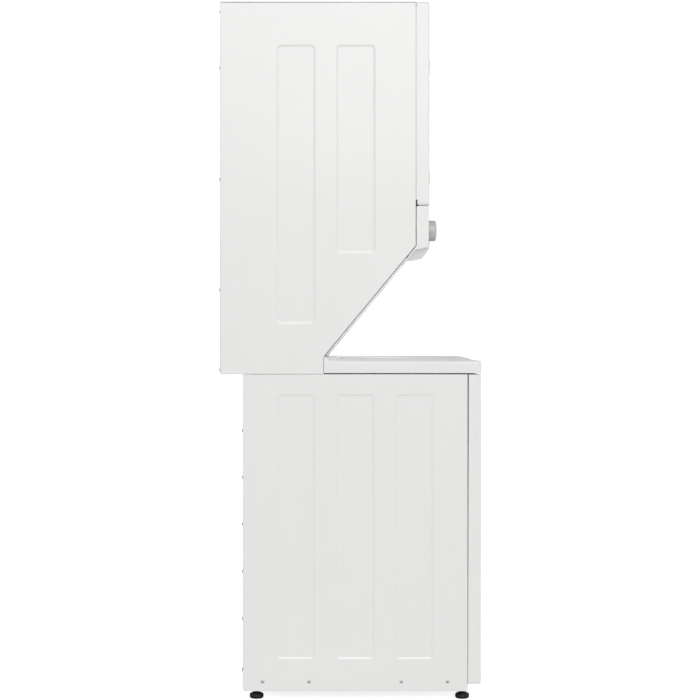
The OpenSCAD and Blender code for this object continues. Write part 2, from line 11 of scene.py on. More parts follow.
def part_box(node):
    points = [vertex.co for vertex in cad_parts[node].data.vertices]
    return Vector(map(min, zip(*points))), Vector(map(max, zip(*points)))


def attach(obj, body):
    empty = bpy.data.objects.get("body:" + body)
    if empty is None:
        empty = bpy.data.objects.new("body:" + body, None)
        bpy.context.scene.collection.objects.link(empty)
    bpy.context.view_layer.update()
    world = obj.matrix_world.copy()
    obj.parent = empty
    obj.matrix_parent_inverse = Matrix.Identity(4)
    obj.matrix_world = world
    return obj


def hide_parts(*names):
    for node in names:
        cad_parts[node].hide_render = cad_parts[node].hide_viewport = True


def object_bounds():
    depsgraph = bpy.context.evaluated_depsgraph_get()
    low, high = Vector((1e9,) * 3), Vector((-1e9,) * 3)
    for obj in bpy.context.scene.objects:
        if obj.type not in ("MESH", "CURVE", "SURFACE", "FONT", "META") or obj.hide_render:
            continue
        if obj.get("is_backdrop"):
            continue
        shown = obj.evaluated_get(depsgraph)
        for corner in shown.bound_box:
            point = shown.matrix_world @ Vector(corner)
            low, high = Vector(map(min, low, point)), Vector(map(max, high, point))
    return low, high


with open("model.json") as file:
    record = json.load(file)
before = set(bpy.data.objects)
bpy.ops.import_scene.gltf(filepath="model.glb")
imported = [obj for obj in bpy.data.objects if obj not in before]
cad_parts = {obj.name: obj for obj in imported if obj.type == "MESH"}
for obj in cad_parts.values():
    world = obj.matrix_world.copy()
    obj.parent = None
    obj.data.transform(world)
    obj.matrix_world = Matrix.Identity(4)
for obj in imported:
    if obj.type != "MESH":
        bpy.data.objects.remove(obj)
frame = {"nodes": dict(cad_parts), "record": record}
CAD = frame["nodes"]
LO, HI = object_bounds()
MM = 0.001
pi = math.pi

# ------------------------------------------------------------------ materials


def new_mat(name, **k):
    m = bpy.data.materials.new(name)
    m.use_nodes = True
    nt = m.node_tree
    b = nt.nodes["Principled BSDF"]
    for key, v in k.items():
        b.inputs[key].default_value = v
    return m, nt, b


def node(nt, kind, **k):
    n = nt.nodes.new(kind)
    for key, v in k.items():
        if hasattr(n, key):
            setattr(n, key, v)
        else:
            n.inputs[key].default_value = v
    return n


def coords(nt):
    return node(nt, "ShaderNodeTexCoord").outputs["Object"]


def noise(nt, vec, scale, detail=3.0, rough=0.55, stretch=None):
    if stretch:
        mp = node(nt, "ShaderNodeMapping")
        mp.inputs["Scale"].default_value = stretch
        nt.links.new(vec, mp.inputs["Vector"])
        vec = mp.outputs["Vector"]
    n = node(nt, "ShaderNodeTexNoise")
    n.inputs["Scale"].default_value = scale
    n.inputs["Detail"].default_value = detail
    n.inputs["Roughness"].default_value = rough
    nt.links.new(vec, n.inputs["Vector"])
    return n.outputs["Fac"]


def ramp(nt, fac, stops):
    r = node(nt, "ShaderNodeValToRGB")
    el = r.color_ramp.elements
    while len(el) < len(stops):
        el.new(0.5)
    for e, (p, c) in zip(el, stops):
        e.position = p
        e.color = (c, c, c, 1) if not isinstance(c, (tuple, list)) else (*c, 1)
    nt.links.new(fac, r.inputs["Fac"])
    return r.outputs["Color"]


def remap(nt, fac, a, b, lo=0.0, hi=1.0):
    r = node(nt, "ShaderNodeMapRange")
    r.inputs["From Min"].default_value = lo
    r.inputs["From Max"].default_value = hi
    r.inputs["To Min"].default_value = a
    r.inputs["To Max"].default_value = b
    nt.links.new(fac, r.inputs["Value"])
    return r.outputs["Result"]


def bump(nt, b, height, strength, distance):
    n = node(nt, "ShaderNodeBump")
    n.inputs["Strength"].default_value = strength
    n.inputs["Distance"].default_value = distance
    nt.links.new(height, n.inputs["Height"])
    nt.links.new(n.outputs["Normal"], b.inputs["Normal"])


def math_node(nt, op, a, b=None):
    n = node(nt, "ShaderNodeMath", operation=op)
    for i, x in enumerate((a, b)):
        if x is None:
            continue
        if isinstance(x, (int, float)):
            n.inputs[i].default_value = x
        else:
            nt.links.new(x, n.inputs[i])
    return n.outputs["Value"]


def tint(col, f):
    return tuple(max(0.0, min(1.0, c * f)) for c in col)


def paint(name, col, rough=0.34, peel=750.0, strength=0.05, coat=0.15):
    """Sprayed or porcelain finish: fine orange peel, faint cloudiness, a handled sheen."""
    m, nt, b = new_mat(name)
    b.inputs["Coat Weight"].default_value = coat
    b.inputs["Coat Roughness"].default_value = 0.12
    c = coords(nt)
    broad = noise(nt, c, 3.0, 4.0)
    fine = noise(nt, c, peel, 2.0)
    mid = noise(nt, c, 45.0, 3.0)
    nt.links.new(ramp(nt, broad, [(0.25, tint(col, 0.992)), (0.75, tint(col, 1.004))]), b.inputs["Base Color"])
    r1 = remap(nt, mid, rough - 0.02, rough + 0.025, 0.25, 0.75)
    nt.links.new(r1, b.inputs["Roughness"])
    bump(nt, b, fine, strength, 0.0004)
    return m


def plastic(name, col, rough=0.42, grain=1400.0, strength=0.12, var=0.03):
    m, nt, b = new_mat(name)
    c = coords(nt)
    broad = noise(nt, c, 12.0, 4.0)
    fine = noise(nt, c, grain, 2.0)
    nt.links.new(ramp(nt, broad, [(0.30, tint(col, 1 - var)), (0.70, tint(col, 1 + var))]), b.inputs["Base Color"])
    nt.links.new(remap(nt, noise(nt, c, 90.0), rough - 0.06, rough + 0.08, 0.3, 0.7), b.inputs["Roughness"])
    bump(nt, b, fine, strength, 0.0004)
    return m


def galvanised(name, col=(0.56, 0.57, 0.58), scale=130.0):
    """Zinc spangle: flat crystals that differ a little in tone and gloss."""
    m, nt, b = new_mat(name, Metallic=0.85)
    c = coords(nt)
    warp = node(nt, "ShaderNodeTexVoronoi", feature="F1")
    warp.inputs["Scale"].default_value = scale
    mixv = node(nt, "ShaderNodeVectorMath", operation="ADD")
    nz = node(nt, "ShaderNodeTexNoise")
    nz.inputs["Scale"].default_value = 40.0
    nt.links.new(c, nz.inputs["Vector"])
    sc = node(nt, "ShaderNodeVectorMath", operation="SCALE")
    sc.inputs["Scale"].default_value = 0.02
    nt.links.new(nz.outputs["Color"], sc.inputs[0])
    nt.links.new(c, mixv.inputs[0])
    nt.links.new(sc.outputs["Vector"], mixv.inputs[1])
    nt.links.new(mixv.outputs["Vector"], warp.inputs["Vector"])
    sep = node(nt, "ShaderNodeSeparateColor")
    nt.links.new(warp.outputs["Color"], sep.inputs["Color"])
    nt.links.new(ramp(nt, sep.outputs["Red"], [(0.0, tint(col, 0.93)), (1.0, tint(col, 1.05))]), b.inputs["Base Color"])
    nt.links.new(remap(nt, sep.outputs["Green"], 0.38, 0.48), b.inputs["Roughness"])
    bump(nt, b, noise(nt, c, 260.0), 0.06, 0.0004)
    return m


def steel(name, col=(0.62, 0.62, 0.64), rough=0.28, stretch=(1, 1, 40), metallic=1.0):
    m, nt, b = new_mat(name, Metallic=metallic)
    c = coords(nt)
    streak = noise(nt, c, 160.0, 3.0, 0.6, stretch)
    nt.links.new(ramp(nt, streak, [(0.3, tint(col, 0.9)), (0.7, tint(col, 1.06))]), b.inputs["Base Color"])
    nt.links.new(remap(nt, streak, rough - 0.06, rough + 0.12, 0.3, 0.7), b.inputs["Roughness"])
    bump(nt, b, streak, 0.05, 0.0002)
    return m


def cast(name, col, rough=0.5, scale=700.0, metallic=0.7):
    m, nt, b = new_mat(name, Metallic=metallic)
    c = coords(nt)
    n1 = noise(nt, c, scale, 4.0, 0.65)
    n2 = noise(nt, c, 25.0, 4.0)
    nt.links.new(ramp(nt, n2, [(0.3, tint(col, 0.85)), (0.7, tint(col, 1.08))]), b.inputs["Base Color"])
    nt.links.new(remap(nt, n1, rough - 0.08, rough + 0.12, 0.3, 0.7), b.inputs["Roughness"])
    bump(nt, b, n1, 0.25, 0.0005)
    return m


def rubber(name, col, rough=0.7, scale=1100.0):
    m, nt, b = new_mat(name)
    b.inputs["Specular IOR Level"].default_value = 0.35
    c = coords(nt)
    n1 = noise(nt, c, scale, 3.0)
    n2 = noise(nt, c, 60.0, 4.0)
    nt.links.new(ramp(nt, n2, [(0.3, tint(col, 0.8)), (0.72, tint(col, 1.35))]), b.inputs["Base Color"])
    nt.links.new(remap(nt, n1, rough - 0.1, rough + 0.1, 0.3, 0.7), b.inputs["Roughness"])
    bump(nt, b, n1, 0.3, 0.0005)
    return m


def speckled(name, col, dot):
    """Vitreous enamel with the fine speckle of a fired basket."""
    m, nt, b = new_mat(name)
    b.inputs["Coat Weight"].default_value = 0.5
    b.inputs["Coat Roughness"].default_value = 0.08
    c = coords(nt)
    v = node(nt, "ShaderNodeTexVoronoi", feature="F1")
    v.inputs["Scale"].default_value = 420.0
    nt.links.new(c, v.inputs["Vector"])
    mask = ramp(nt, v.outputs["Distance"], [(0.12, 1.0), (0.20, 0.0)])
    mix = node(nt, "ShaderNodeMix", data_type="RGBA")
    base = ramp(nt, noise(nt, c, 8.0), [(0.3, tint(col, 0.97)), (0.7, tint(col, 1.02))])
    nt.links.new(mask, mix.inputs["Factor"])
    nt.links.new(base, mix.inputs["A"])
    mix.inputs["B"].default_value = (*dot, 1)
    nt.links.new(mix.outputs["Result"], b.inputs["Base Color"])
    nt.links.new(remap(nt, noise(nt, c, 120.0), 0.14, 0.26, 0.3, 0.7), b.inputs["Roughness"])
    bump(nt, b, noise(nt, c, 500.0, 2.0), 0.08, 0.0004)
    return m


def felt(name, col):
    m, nt, b = new_mat(name)
    b.inputs["Sheen Weight"].default_value = 0.3
    b.inputs["Sheen Roughness"].default_value = 0.6
    c = coords(nt)
    n1 = noise(nt, c, 1800.0, 5.0, 0.7)
    n2 = noise(nt, c, 500.0, 4.0, 0.6, (1, 6, 1))
    nt.links.new(ramp(nt, n2, [(0.3, tint(col, 0.75)), (0.7, tint(col, 1.25))]), b.inputs["Base Color"])
    nt.links.new(remap(nt, n1, 0.85, 1.0, 0.3, 0.7), b.inputs["Roughness"])
    bump(nt, b, n1, 0.6, 0.001)
    return m


WHITE = paint("white_paint", (0.86, 0.853, 0.845), 0.36)
GALV = galvanised("galvanised_steel")
DRUM = paint("drum_powder_coat", (0.78, 0.79, 0.79), 0.36, 1300.0, 0.2, 0.1)
ENAMEL = speckled("basket_enamel", (0.82, 0.84, 0.85), (0.30, 0.36, 0.44))
BRIGHT = steel("bright_steel")
SPRING = steel("spring_steel", (0.20, 0.20, 0.22), 0.35)
SCREW = steel("screw_steel", (0.12, 0.12, 0.125), 0.45, metallic=0.35)
ZINC = steel("screw_zinc", (0.62, 0.62, 0.63), 0.42, metallic=0.5)
CASTAL = cast("cast_housing", (0.46, 0.47, 0.49))
MOTOR = cast("motor_body", (0.13, 0.135, 0.145), 0.45, 500.0, 0.5)
WPLAST = plastic("white_plastic", (0.84, 0.84, 0.83), 0.34)
TUBP = plastic("tub_plastic", (0.74, 0.74, 0.71), 0.5, 600.0, 0.2)
DARKP = plastic("dark_plastic", (0.045, 0.045, 0.05), 0.5)
DUCTP = plastic("duct_plastic", (0.11, 0.115, 0.125), 0.5)
GREYP = plastic("grey_plastic", (0.52, 0.515, 0.51), 0.36, 1800.0, 0.08, 0.02)
GREYL = plastic("dark_grey_print", (0.10, 0.105, 0.115), 0.55, 1800.0, 0.05, 0.04)
POINTER = plastic("pointer_dark", (0.07, 0.072, 0.078), 0.45)
BELT = rubber("belt_rubber", (0.030, 0.030, 0.032))
SEAL = felt("seal_felt", (0.30, 0.31, 0.32))
FOOT = rubber("foot_rubber", (0.012, 0.012, 0.013), 0.62)
SCREEN = plastic("screen_plastic", (0.30, 0.32, 0.34), 0.5)
PAD = rubber("bumper_rubber", (0.28, 0.28, 0.29), 0.7)
SLOTMAT = {
    "white_paint": WHITE, "galvanised": GALV, "drum_steel": DRUM, "basket_enamel": ENAMEL,
    "bright_steel": BRIGHT, "spring_steel": SPRING, "cast_housing": CASTAL, "motor_body": MOTOR,
    "white_plastic": WPLAST, "tub_plastic": TUBP, "dark_plastic": DARKP, "duct_plastic": DUCTP,
    "grey_plastic": GREYP, "belt_rubber": BELT, "seal_felt": SEAL, "foot_rubber": FOOT,
}
NODE_SLOT = {s["node"]: s["material_slot"] for s in frame["record"]["subparts"]}

# every carried-over CAD node: procedural material, softened edges
for n, o in CAD.items():
    m = WHITE if n == "door_hinge_leaves" else SLOTMAT[NODE_SLOT[n]]
    if n == "lint_screen":
        m = SCREEN
    o.data.materials.clear()
    o.data.materials.append(m)
    o.data.shade_smooth()
    o.data.set_sharp_from_angle(angle=math.radians(28))

# ------------------------------------------------------------------ mesh tools


def rr(x0, x1, y0, y1, r, n=8):
    """Rounded rectangle, counter-clockwise."""
    out = []
    for cx, cy, a0 in ((x1 - r, y0 + r, -90), (x1 - r, y1 - r, 0), (x0 + r, y1 - r, 90), (x0 + r, y0 + r, 180)):
        for i in range(n + 1):
            a = math.radians(a0 + 90 * i / n)
            out.append((cx + r * math.cos(a), cy + r * math.sin(a)))
    return out


def circle(cx, cy, r, n=72):
    return [(cx + r * math.cos(2 * pi * i / n), cy + r * math.sin(2 * pi * i / n)) for i in range(n)]


def inset(poly, d):
    """Moves every edge of a counter-clockwise outline inwards by d (outwards if negative)."""
    out = []
    n = len(poly)
    for i in range(n):
        p0, p1, p2 = Vector(poly[i - 1]), Vector(poly[i]), Vector(poly[(i + 1) % n])
        e1, e2 = (p1 - p0).normalized(), (p2 - p1).normalized()
        n1, n2 = Vector((-e1.y, e1.x)), Vector((-e2.y, e2.x))
        k = 1 + n1.dot(n2)
        q = p1 + (n1 + n2) * (d / max(k, 0.2))
        out.append((q.x, q.y))
    return out


def inside(p, poly):
    x, y = p
    hit = False
    n = len(poly)
    for i in range(n):
        x1, y1 = poly[i]
        x2, y2 = poly[(i + 1) % n]
        if (y1 > y) != (y2 > y) and x < (x2 - x1) * (y - y1) / (y2 - y1) + x1:
            hit = not hit
    return hit


class MB:
    """A mesh in the making, in millimetres."""

    def __init__(self):
        self.v, self.f = [], []

    def loop(self, pts):
        i = len(self.v)
        self.v.extend(Vector(p) for p in pts)
        return list(range(i, i + len(pts)))

    def bridge(self, a, b, closed=True):
        n = len(a)
        for k in range(n if closed else n - 1):
            j = (k + 1) % n
            self.f.append((a[k], a[j], b[j], b[k]))

    def cap(self, a):
        self.f.append(tuple(a))

    def region(self, outer, outer2, inners):
        idx, pts, edges = [], [], []
        for loop_i, loop_p in [(outer, outer2)] + list(inners):
            base = len(pts)
            pts += [Vector(p) for p in loop_p]
            idx += loop_i
            n = len(loop_p)
            edges += [(base + k, base + (k + 1) % n) for k in range(n)]
        co, _, faces, ov, _, _ = delaunay_2d_cdt(pts, edges, [], 0, 1e-5)
        for f in faces:
            c = sum((co[i] for i in f), Vector((0, 0))) / len(f)
            if not inside((c.x, c.y), outer2):
                continue
            if any(inside((c.x, c.y), p) for _, p in inners):
                continue
            try:
                self.f.append(tuple(idx[ov[i][0]] for i in f))
            except IndexError:
                raise SystemExit("a triangulated face has a vertex that isn't in the outline")


def build(name, mb, mat, body, replaces=(), out=None, thick=None, sub=0, wn=True, keep=False, sharp=None):
    """Turns a mesh in millimetres into a finished, riding piece."""
    me = bpy.data.meshes.new(name)
    me.from_pydata([tuple(v * MM) for v in mb.v], [], mb.f)
    bm = bmesh.new()
    bm.from_mesh(me)
    bmesh.ops.remove_doubles(bm, verts=bm.verts, dist=2e-6)
    bmesh.ops.dissolve_degenerate(bm, edges=bm.edges, dist=1e-7)
    bmesh.ops.recalc_face_normals(bm, faces=bm.faces)
    if out is not None:
        s = sum(f.calc_area() * (1 if f.normal.dot(Vector(out)) > 0 else -1) for f in bm.faces if abs(f.normal.dot(Vector(out))) > 0.9)
        if s < 0:
            bmesh.ops.reverse_faces(bm, faces=bm.faces)
    bm.to_mesh(me)
    bm.free()
    me.shade_smooth()
    if sharp:
        me.set_sharp_from_angle(angle=math.radians(sharp))
    me.materials.append(mat)
    o = bpy.data.objects.new(name, me)
    bpy.context.scene.collection.objects.link(o)
    if thick:
        md = o.modifiers.new("sheet", "SOLIDIFY")
        md.thickness = thick * MM
        md.offset = -1
        md.use_even_offset = True
        md.thickness_clamp = 2.0
    if sub:
        md = o.modifiers.new("smooth", "SUBSURF")
        md.levels = md.render_levels = sub
    if wn:
        md = o.modifiers.new("normals", "WEIGHTED_NORMAL")
        md.mode = "FACE_AREA"
        md.weight = 50
        md.keep_sharp = True
    if replaces:
        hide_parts(*replaces)
    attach(o, body)
    return o


def rim(r, depth, n=5):
    """(inset, depth) loops from the back of a folded edge, round its bend, to the face."""
    out = [(0.0, depth)] if depth > r else []
    for k in range(n + 1):
        a = k / n * pi / 2
        out.append((r * (1 - math.cos(a)), r * (1 - math.sin(a))))
    return out


def press(w, e, n=6):
    """(inset, depth) loops of a softly pressed recess, w wide at its wall and e deep."""
    return [(w * k / n, e * (3 * (k / n) ** 2 - 2 * (k / n) ** 3)) for k in range(n + 1)]


def sheet_panel(mb, outline, to3, rim_loops, pockets=(), holes=()):
    """A pressed panel: folded rim, soft recesses (poly, loops) with a flat floor, open holes (poly, loops)."""
    prev = None
    cur2 = outline
    for ins, d in rim_loops:
        p2 = inset(outline, ins) if ins else outline
        cur = mb.loop([to3(u, v, d) for u, v in p2])
        if prev:
            mb.bridge(prev, cur)
        prev, cur2 = cur, p2
    inners = []
    for poly, loops in pockets:
        first = None
        last = None
        for ins, d in loops:
            p2 = inset(poly, ins) if ins else poly
            cur = mb.loop([to3(u, v, d) for u, v in p2])
            if last:
                mb.bridge(last, cur)
            else:
                first = (cur, p2)
            last = cur
        mb.cap(last)
        inners.append(first)
    for poly, loops in holes:
        first = None
        last = None
        for ins, d in loops:
            p2 = inset(poly, ins) if ins else poly
            cur = mb.loop([to3(u, v, d) for u, v in p2])
            if last:
                mb.bridge(last, cur)
            else:
                first = (cur, p2)
            last = cur
        inners.append(first)
    mb.region(prev, cur2, inners)


def lathe(mb, profile, to3, segs=64, a0=0.0):
    """Turns (radius, height) points; a radius of 0 closes the end."""
    prev = None
    for r, h in profile:
        if r < 1e-6:
            cur = mb.loop([to3(0, 0, h)])
        else:
            cur = mb.loop([to3(r * math.cos(a0 + 2 * pi * k / segs), r * math.sin(a0 + 2 * pi * k / segs), h) for k in range(segs)])
        if prev is not None:
            if len(prev) == 1 and len(cur) > 1:
                for k in range(segs):
                    mb.f.append((prev[0], cur[k], cur[(k + 1) % segs]))
            elif len(cur) == 1 and len(prev) > 1:
                for k in range(segs):
                    mb.f.append((prev[(k + 1) % segs], prev[k], cur[0]))
            elif len(cur) > 1:
                mb.bridge(prev, cur)
        prev = cur


def arc_pts(cx, cy, r, a0, a1, n):
    return [(cx + r * math.cos(math.radians(a0 + (a1 - a0) * k / n)), cy + r * math.sin(math.radians(a0 + (a1 - a0) * k / n))) for k in range(n + 1)]


def perforate(mb, nu, nv, map3, hole=0.32, wrap=True, stagger=False):
    """A sheet of nu by nv square cells with a round hole in each; map3(i, j) places a point of the grid."""
    ring = [(0.5 + hole * math.cos(a), 0.5 + hole * math.sin(a)) for a in [math.radians(225 + 45 * k) for k in range(8)]]
    edge = [(0, 0), (0.5, 0), (1, 0), (1, 0.5), (1, 1), (0.5, 1), (0, 1), (0, 0.5)]
    for j in range(nv):
        for i in range(nu):
            a = mb.loop([map3(i + x, j + y) for x, y in edge])
            b = mb.loop([map3(i + x, j + y) for x, y in ring])
            mb.bridge(a, b)


def rbox(mb, x0, x1, y0, y1, z0, z1, r, to3=lambda x, y, z: (x, y, z), n=3):
    """A block with every edge rounded."""
    r = min(r, (x1 - x0) / 2 - 0.01, (y1 - y0) / 2 - 0.01, (z1 - z0) / 2 - 0.01)
    loops = []
    for k in range(n + 1):
        a = k / n * pi / 2
        loops.append((r * (1 - math.sin(a)), z0 + r * (1 - math.cos(a))))
    for k in range(n, -1, -1):
        a = k / n * pi / 2
        loops.append((r * (1 - math.sin(a)), z1 - r * (1 - math.cos(a))))
    prev = None
    base = rr(x0, x1, y0, y1, r + 0.001, 3)
    cx, cy = (x0 + x1) / 2, (y0 + y1) / 2
    first = None
    for ins, z in loops:
        pts = rr(x0 + ins, x1 - ins, y0 + ins, y1 - ins, max(r - ins, 0.02), 3)
        cur = mb.loop([to3(x, y, z) for x, y in pts])
        if prev:
            mb.bridge(prev, cur)
        else:
            first = cur
        prev = cur
    mb.cap(first)
    mb.cap(prev)


# ------------------------------------------------------------------ sizes read from the frame
def mmbox(n):
    a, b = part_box(n)
    return [c * 1000 for c in a], [c * 1000 for c in b]


HW = mmbox("washer_front_panel")[1][0]
Z_TOP = HI.z * 1000
Z_SIDE = mmbox("dryer_left_side_panel")[1][2]
YR = mmbox("dryer_left_side_panel")[1][1]
YF = mmbox("dryer_left_side_panel")[0][1]
YW = mmbox("washer_left_side_panel")[1][1]
YWF = mmbox("washer_left_side_panel")[0][1]

# ------------------------------------------------------------------ side panels


def side_left(u, v, d):
    return (-HW + d, u, v)


def side_right(u, v, d):
    return (HW - d, u, v)


DRY_SIDE = [(69, 851.5), (YR, 851.5), (YR, Z_SIDE), (YF, Z_SIDE), (YF, 1187.4), (65.7, 901.6), (69, 897.6)]
WASH_SIDE = [(YWF, 24), (YW, 24), (YW, 851), (YWF, 851)]
DRY_POCKETS = [(89.6, 193, 982, 1712), (-67, 37, 1166, 1712)]
WASH_POCKETS = [(y, y + 101.8, 107, 800) for y in (90, -64.6, -218)]
for side, to3, out in (("left", side_left, (-1, 0, 0)), ("right", side_right, (1, 0, 0))):
    for kind, outline, pockets in (("dryer", DRY_SIDE, DRY_POCKETS), ("washer", WASH_SIDE, WASH_POCKETS)):
        mb = MB()
        sheet_panel(mb, outline, to3, rim(1.8, 18.0), [(rr(a, b, c, d, 12, 8), press(7.0, 1.8)) for a, b, c, d in pockets])
        build(f"{kind}_{side}_side_skin", mb, WHITE, "cabinet", [f"{kind}_{side}_side_panel"], out, 1.1)

# ------------------------------------------------------------------ front of the washer
mb = MB()


def wash_front(u, v, d):
    """The face leans out a little towards the top, and the gap behind the panel opens the same way."""
    t, k = (v - 43) / 808, min(1, d / 32)
    return (u, -340 + d - (1.3 + 0.6 * t) * (1 - k) - (1.9 * t - 0.7) * k, v)


sheet_panel(mb, rr(-HW, HW, 43, 851, 5, 6), wash_front, rim(4.0, 32.0, 7))
build("washer_front_skin", mb, WHITE, "cabinet", ["washer_front_panel"], (0, -1, 0), 1.1)

# ------------------------------------------------------------------ top of the dryer
mb = MB()
sheet_panel(mb, rr(-HW + 0.5, HW - 0.5, -172, YR, 2.5, 4), lambda u, v, d: (u, v, Z_TOP - d), rim(1.1, mmbox("dryer_top_panel")[1][2] - mmbox("dryer_top_panel")[0][2], 4),
            [(rr(-250, 250, -120, 290, 30, 8), press(16.0, 1.0))])
build("dryer_top_skin", mb, WHITE, "cabinet", ["dryer_top_panel"], (0, 0, 1), 0.8)

# ------------------------------------------------------------------ front of the dryer, with the door's pocket and the mouth
FACE = -206.5
mb = MB()
plain = rr(-HW, HW, 1292, mmbox("dryer_front_panel")[1][2], 6, 6)
outer = []
for i, (u, v) in enumerate(plain):
    u2, v2 = plain[(i + 1) % len(plain)]
    outer.append((u, v))
    if abs(u - u2) < 1e-6 and abs(v - v2) > 100:
        outer += [(u, z) for z in ((1306.0, 1306.8) if v2 > v else (1306.8, 1306.0))]
pocket = rr(-219.2, 219.2, 1303.8, 1716.2, 27.2, 8)
prev = None
for ins, d in rim(4.0, 33.5, 7):
    p2 = inset(outer, ins) if ins else outer
    cur = mb.loop([(u, FACE + d - (2.2 if d > 33 and v < 1306.4 else 0), v) for u, v in p2])     # a notch at each lower corner
    if prev:
        mb.bridge(prev, cur)
    prev = cur
face_loop, face2 = prev, p2
wall = [(0, 0), (0.3, 0.15), (0.85, 0.55), (1.2, 1.3), (1.2, 18.0), (1.6, 20.3), (3.4, 21.3)]
prev = None
for ins, d in wall:
    p2 = inset(pocket, ins) if ins else pocket
    cur = mb.loop([(u, FACE + d, v) for u, v in p2])
    if prev:
        mb.bridge(prev, cur)
    else:
        mb.region(face_loop, face2, [(cur, p2)])
    prev = cur
floor_loop, floor2 = prev, p2
MZ = 1528.0
prev = None
for r, d in ((172.2, 21.3), (172.0, 22.0), (172.0, 29.0), (174.0, 33.0)):
    c2 = circle(0, MZ, r, 96)
    cur = mb.loop([(u, FACE + d, v) for u, v in c2])
    if prev:
        mb.bridge(prev, cur)
    else:
        mb.region(floor_loop, floor2, [(cur, c2)])
    prev = cur
build("dryer_front_skin", mb, WHITE, "cabinet", ["dryer_front_panel"], (0, -1, 0), 1.0)

# ------------------------------------------------------------------ door skin with its pull, and the liner
mb = MB()
outer = rr(-215, 215, 1308, 1712, 23, 8)
pull = rr(-206, -172, 1453, 1567, 12, 7)
sheet_panel(mb, outer, lambda u, v, d: (u, FACE + d, v), rim(3.0, 17.3, 6),
            [(pull, [(0, 0), (0.4, 0.2), (1.0, 0.9), (1.3, 2.0), (1.6, 10.0), (2.4, 11.9), (4.0, 12.5)]),
             (rr(-158, 170, 1352, 1668, 16, 8), press(9.0, 1.2))])
build("dryer_door_skin", mb, WHITE, "door", ["dryer_door_outer"], (0, -1, 0), 1.0)

mb = MB()
outer = rr(-213.2, 213.2, 1309.8, 1710.2, 21, 8)
o_loop = mb.loop([(u, -189.2, v) for u, v in outer])
prof = [(158.0, -189.2), (157.4, -188.4), (156.8, -186.5), (154.5, -160.0), (152.0, -154.5), (147.0, -151.3), (140.0, -150.2), (96.0, -150.2), (92.0, -151.0), (86.0, -154.4), (80.0, -155.4), (0.0, -155.4)]
first = None
prev = None
for r, y in prof:
    if r == 0:
        mb.cap(prev)
        break
    c2 = circle(0, MZ, r, 96)
    cur = mb.loop([(u, y, v) for u, v in c2])
    if prev:
        mb.bridge(prev, cur)
    else:
        mb.region(o_loop, outer, [(cur, c2)])
    prev = cur
build("dryer_door_liner", mb, DRUM, "door", ["dryer_door_inner"], (0, 1, 0), 0.9)

mb = MB()
lathe(mb, [(173, -186.4), (173.3, -185.9), (175, -185.65), (179, -185.65), (180.6, -185.9), (181, -186.4), (181, -188.8), (180.6, -189.2), (173.4, -189.2), (173, -188.8), (173, -186.4)],
      lambda a, b, h: (a, h, MZ + b), 96)
build("dryer_door_gasket", mb, SEAL, "door", ["dryer_door_seal"])

# ------------------------------------------------------------------ control panel: a bulged fascia, its ends rolled over below
CP = [(-173.0, 1289.5), (-199.5, 1289.5), (-201.6, 1289.1), (-203.2, 1288.2), (-204.3, 1286.7), (-205.0, 1284.6), (-205.3, 1280), (-205.4, 1270), (-205.4, 1250), (-205.4, 1230), (-205.4, 1210),
      (-205.4, 1197), (-205.4, 1191.5), (-205.35, 1187.4), (-205.0, 1185.1), (-204.2, 1183.6), (-202.9, 1182.6), (-200.9, 1181.9), (-197, 1181.0), (-194, 1180.3), (-188, 1179.1), (-182, 1177.8),
      (-176, 1176.5), (-170.5, 1175.3), (-167.4, 1174.4), (-165.2, 1173.0), (-163.5, 1171.1), (-159.2, 1166), (-155, 1161.1), (-150.9, 1156.3)]


def cp_normals():
    out = []
    n = len(CP)
    for i in range(n):
        p0 = Vector(CP[max(i - 1, 0)])
        p2 = Vector(CP[min(i + 1, n - 1)])
        t = (p2 - p0).normalized()
        out.append(Vector((t.y, -t.x)))
    return out


CPN = cp_normals()


def cp_bow(x, y, z):
    """The fascia is crowned a little: forward along its face, down along its lower edge."""
    k = 1 - (x / HW) ** 2
    belly = 1 - (x / HW) ** 4
    low = max(0.0, min(1.0, (1197 - z) / 12.0)) * max(0.0, min(1.0, (-164 - y) / 8.0))
    front = max(0.0, min(1.0, (-173 - y) / 20.0))
    return (x, y - 1.2 * k * front, z - 8.0 * belly * low)


def cp_side(sign):
    """Loops from the flat end to the start of the body, each an open strip of the profile."""
    loops = []
    m = 5
    r = 1.8
    for k in range(m + 1):
        a = k / m * pi / 2
        pts = []
        for (y, z), nn in zip(CP, CPN):
            q = Vector((y, z)) - nn * (r * (1 - math.sin(a)))
            pts.append(cp_bow(sign * (HW - r * (1 - math.cos(a))), q.x, q.y))
        loops.append(pts)
    return loops


# outward normals must point away from the machine
if CPN[12].dot(Vector((-1, 0))) < 0:
    CPN = [-x for x in CPN]
mb = MB()
left, right = cp_side(-1), cp_side(1)
strips = [mb.loop(p) for p in left]
for a, b in zip(strips, strips[1:]):
    mb.bridge(a, b, closed=False)
xs = [-298, -292, -284, -274, -260, -240, -215, -185, -150, -110, -70, -30, 30, 70, 110, 150, 185, 215, 240, 260, 274, 284, 292, 298]
body_loops = [mb.loop([cp_bow(x, y, z) for y, z in CP]) for x in xs]
rstrips = [mb.loop(p) for p in reversed(right)]
chain = [strips[-1]] + body_loops + [rstrips[0]]
for a, b in zip(chain, chain[1:]):
    mb.bridge(a, b, closed=False)
for a, b in zip(rstrips, rstrips[1:]):
    mb.bridge(a, b, closed=False)
# flat ends, closed along the machine's side panel
for strip, sgn in ((left[0], -1), (right[0], 1)):
    back = [(sgn * HW, -149.4, 1157.6), (sgn * HW, -172.0, 1185.6), (sgn * HW, -173, 1187.5), (sgn * HW, -173, 1238)]
    mb.cap(mb.loop(list(strip) + back))
build("control_fascia", mb, WHITE, "cabinet", ["control_panel"], (0, -1, 0), 2.0)

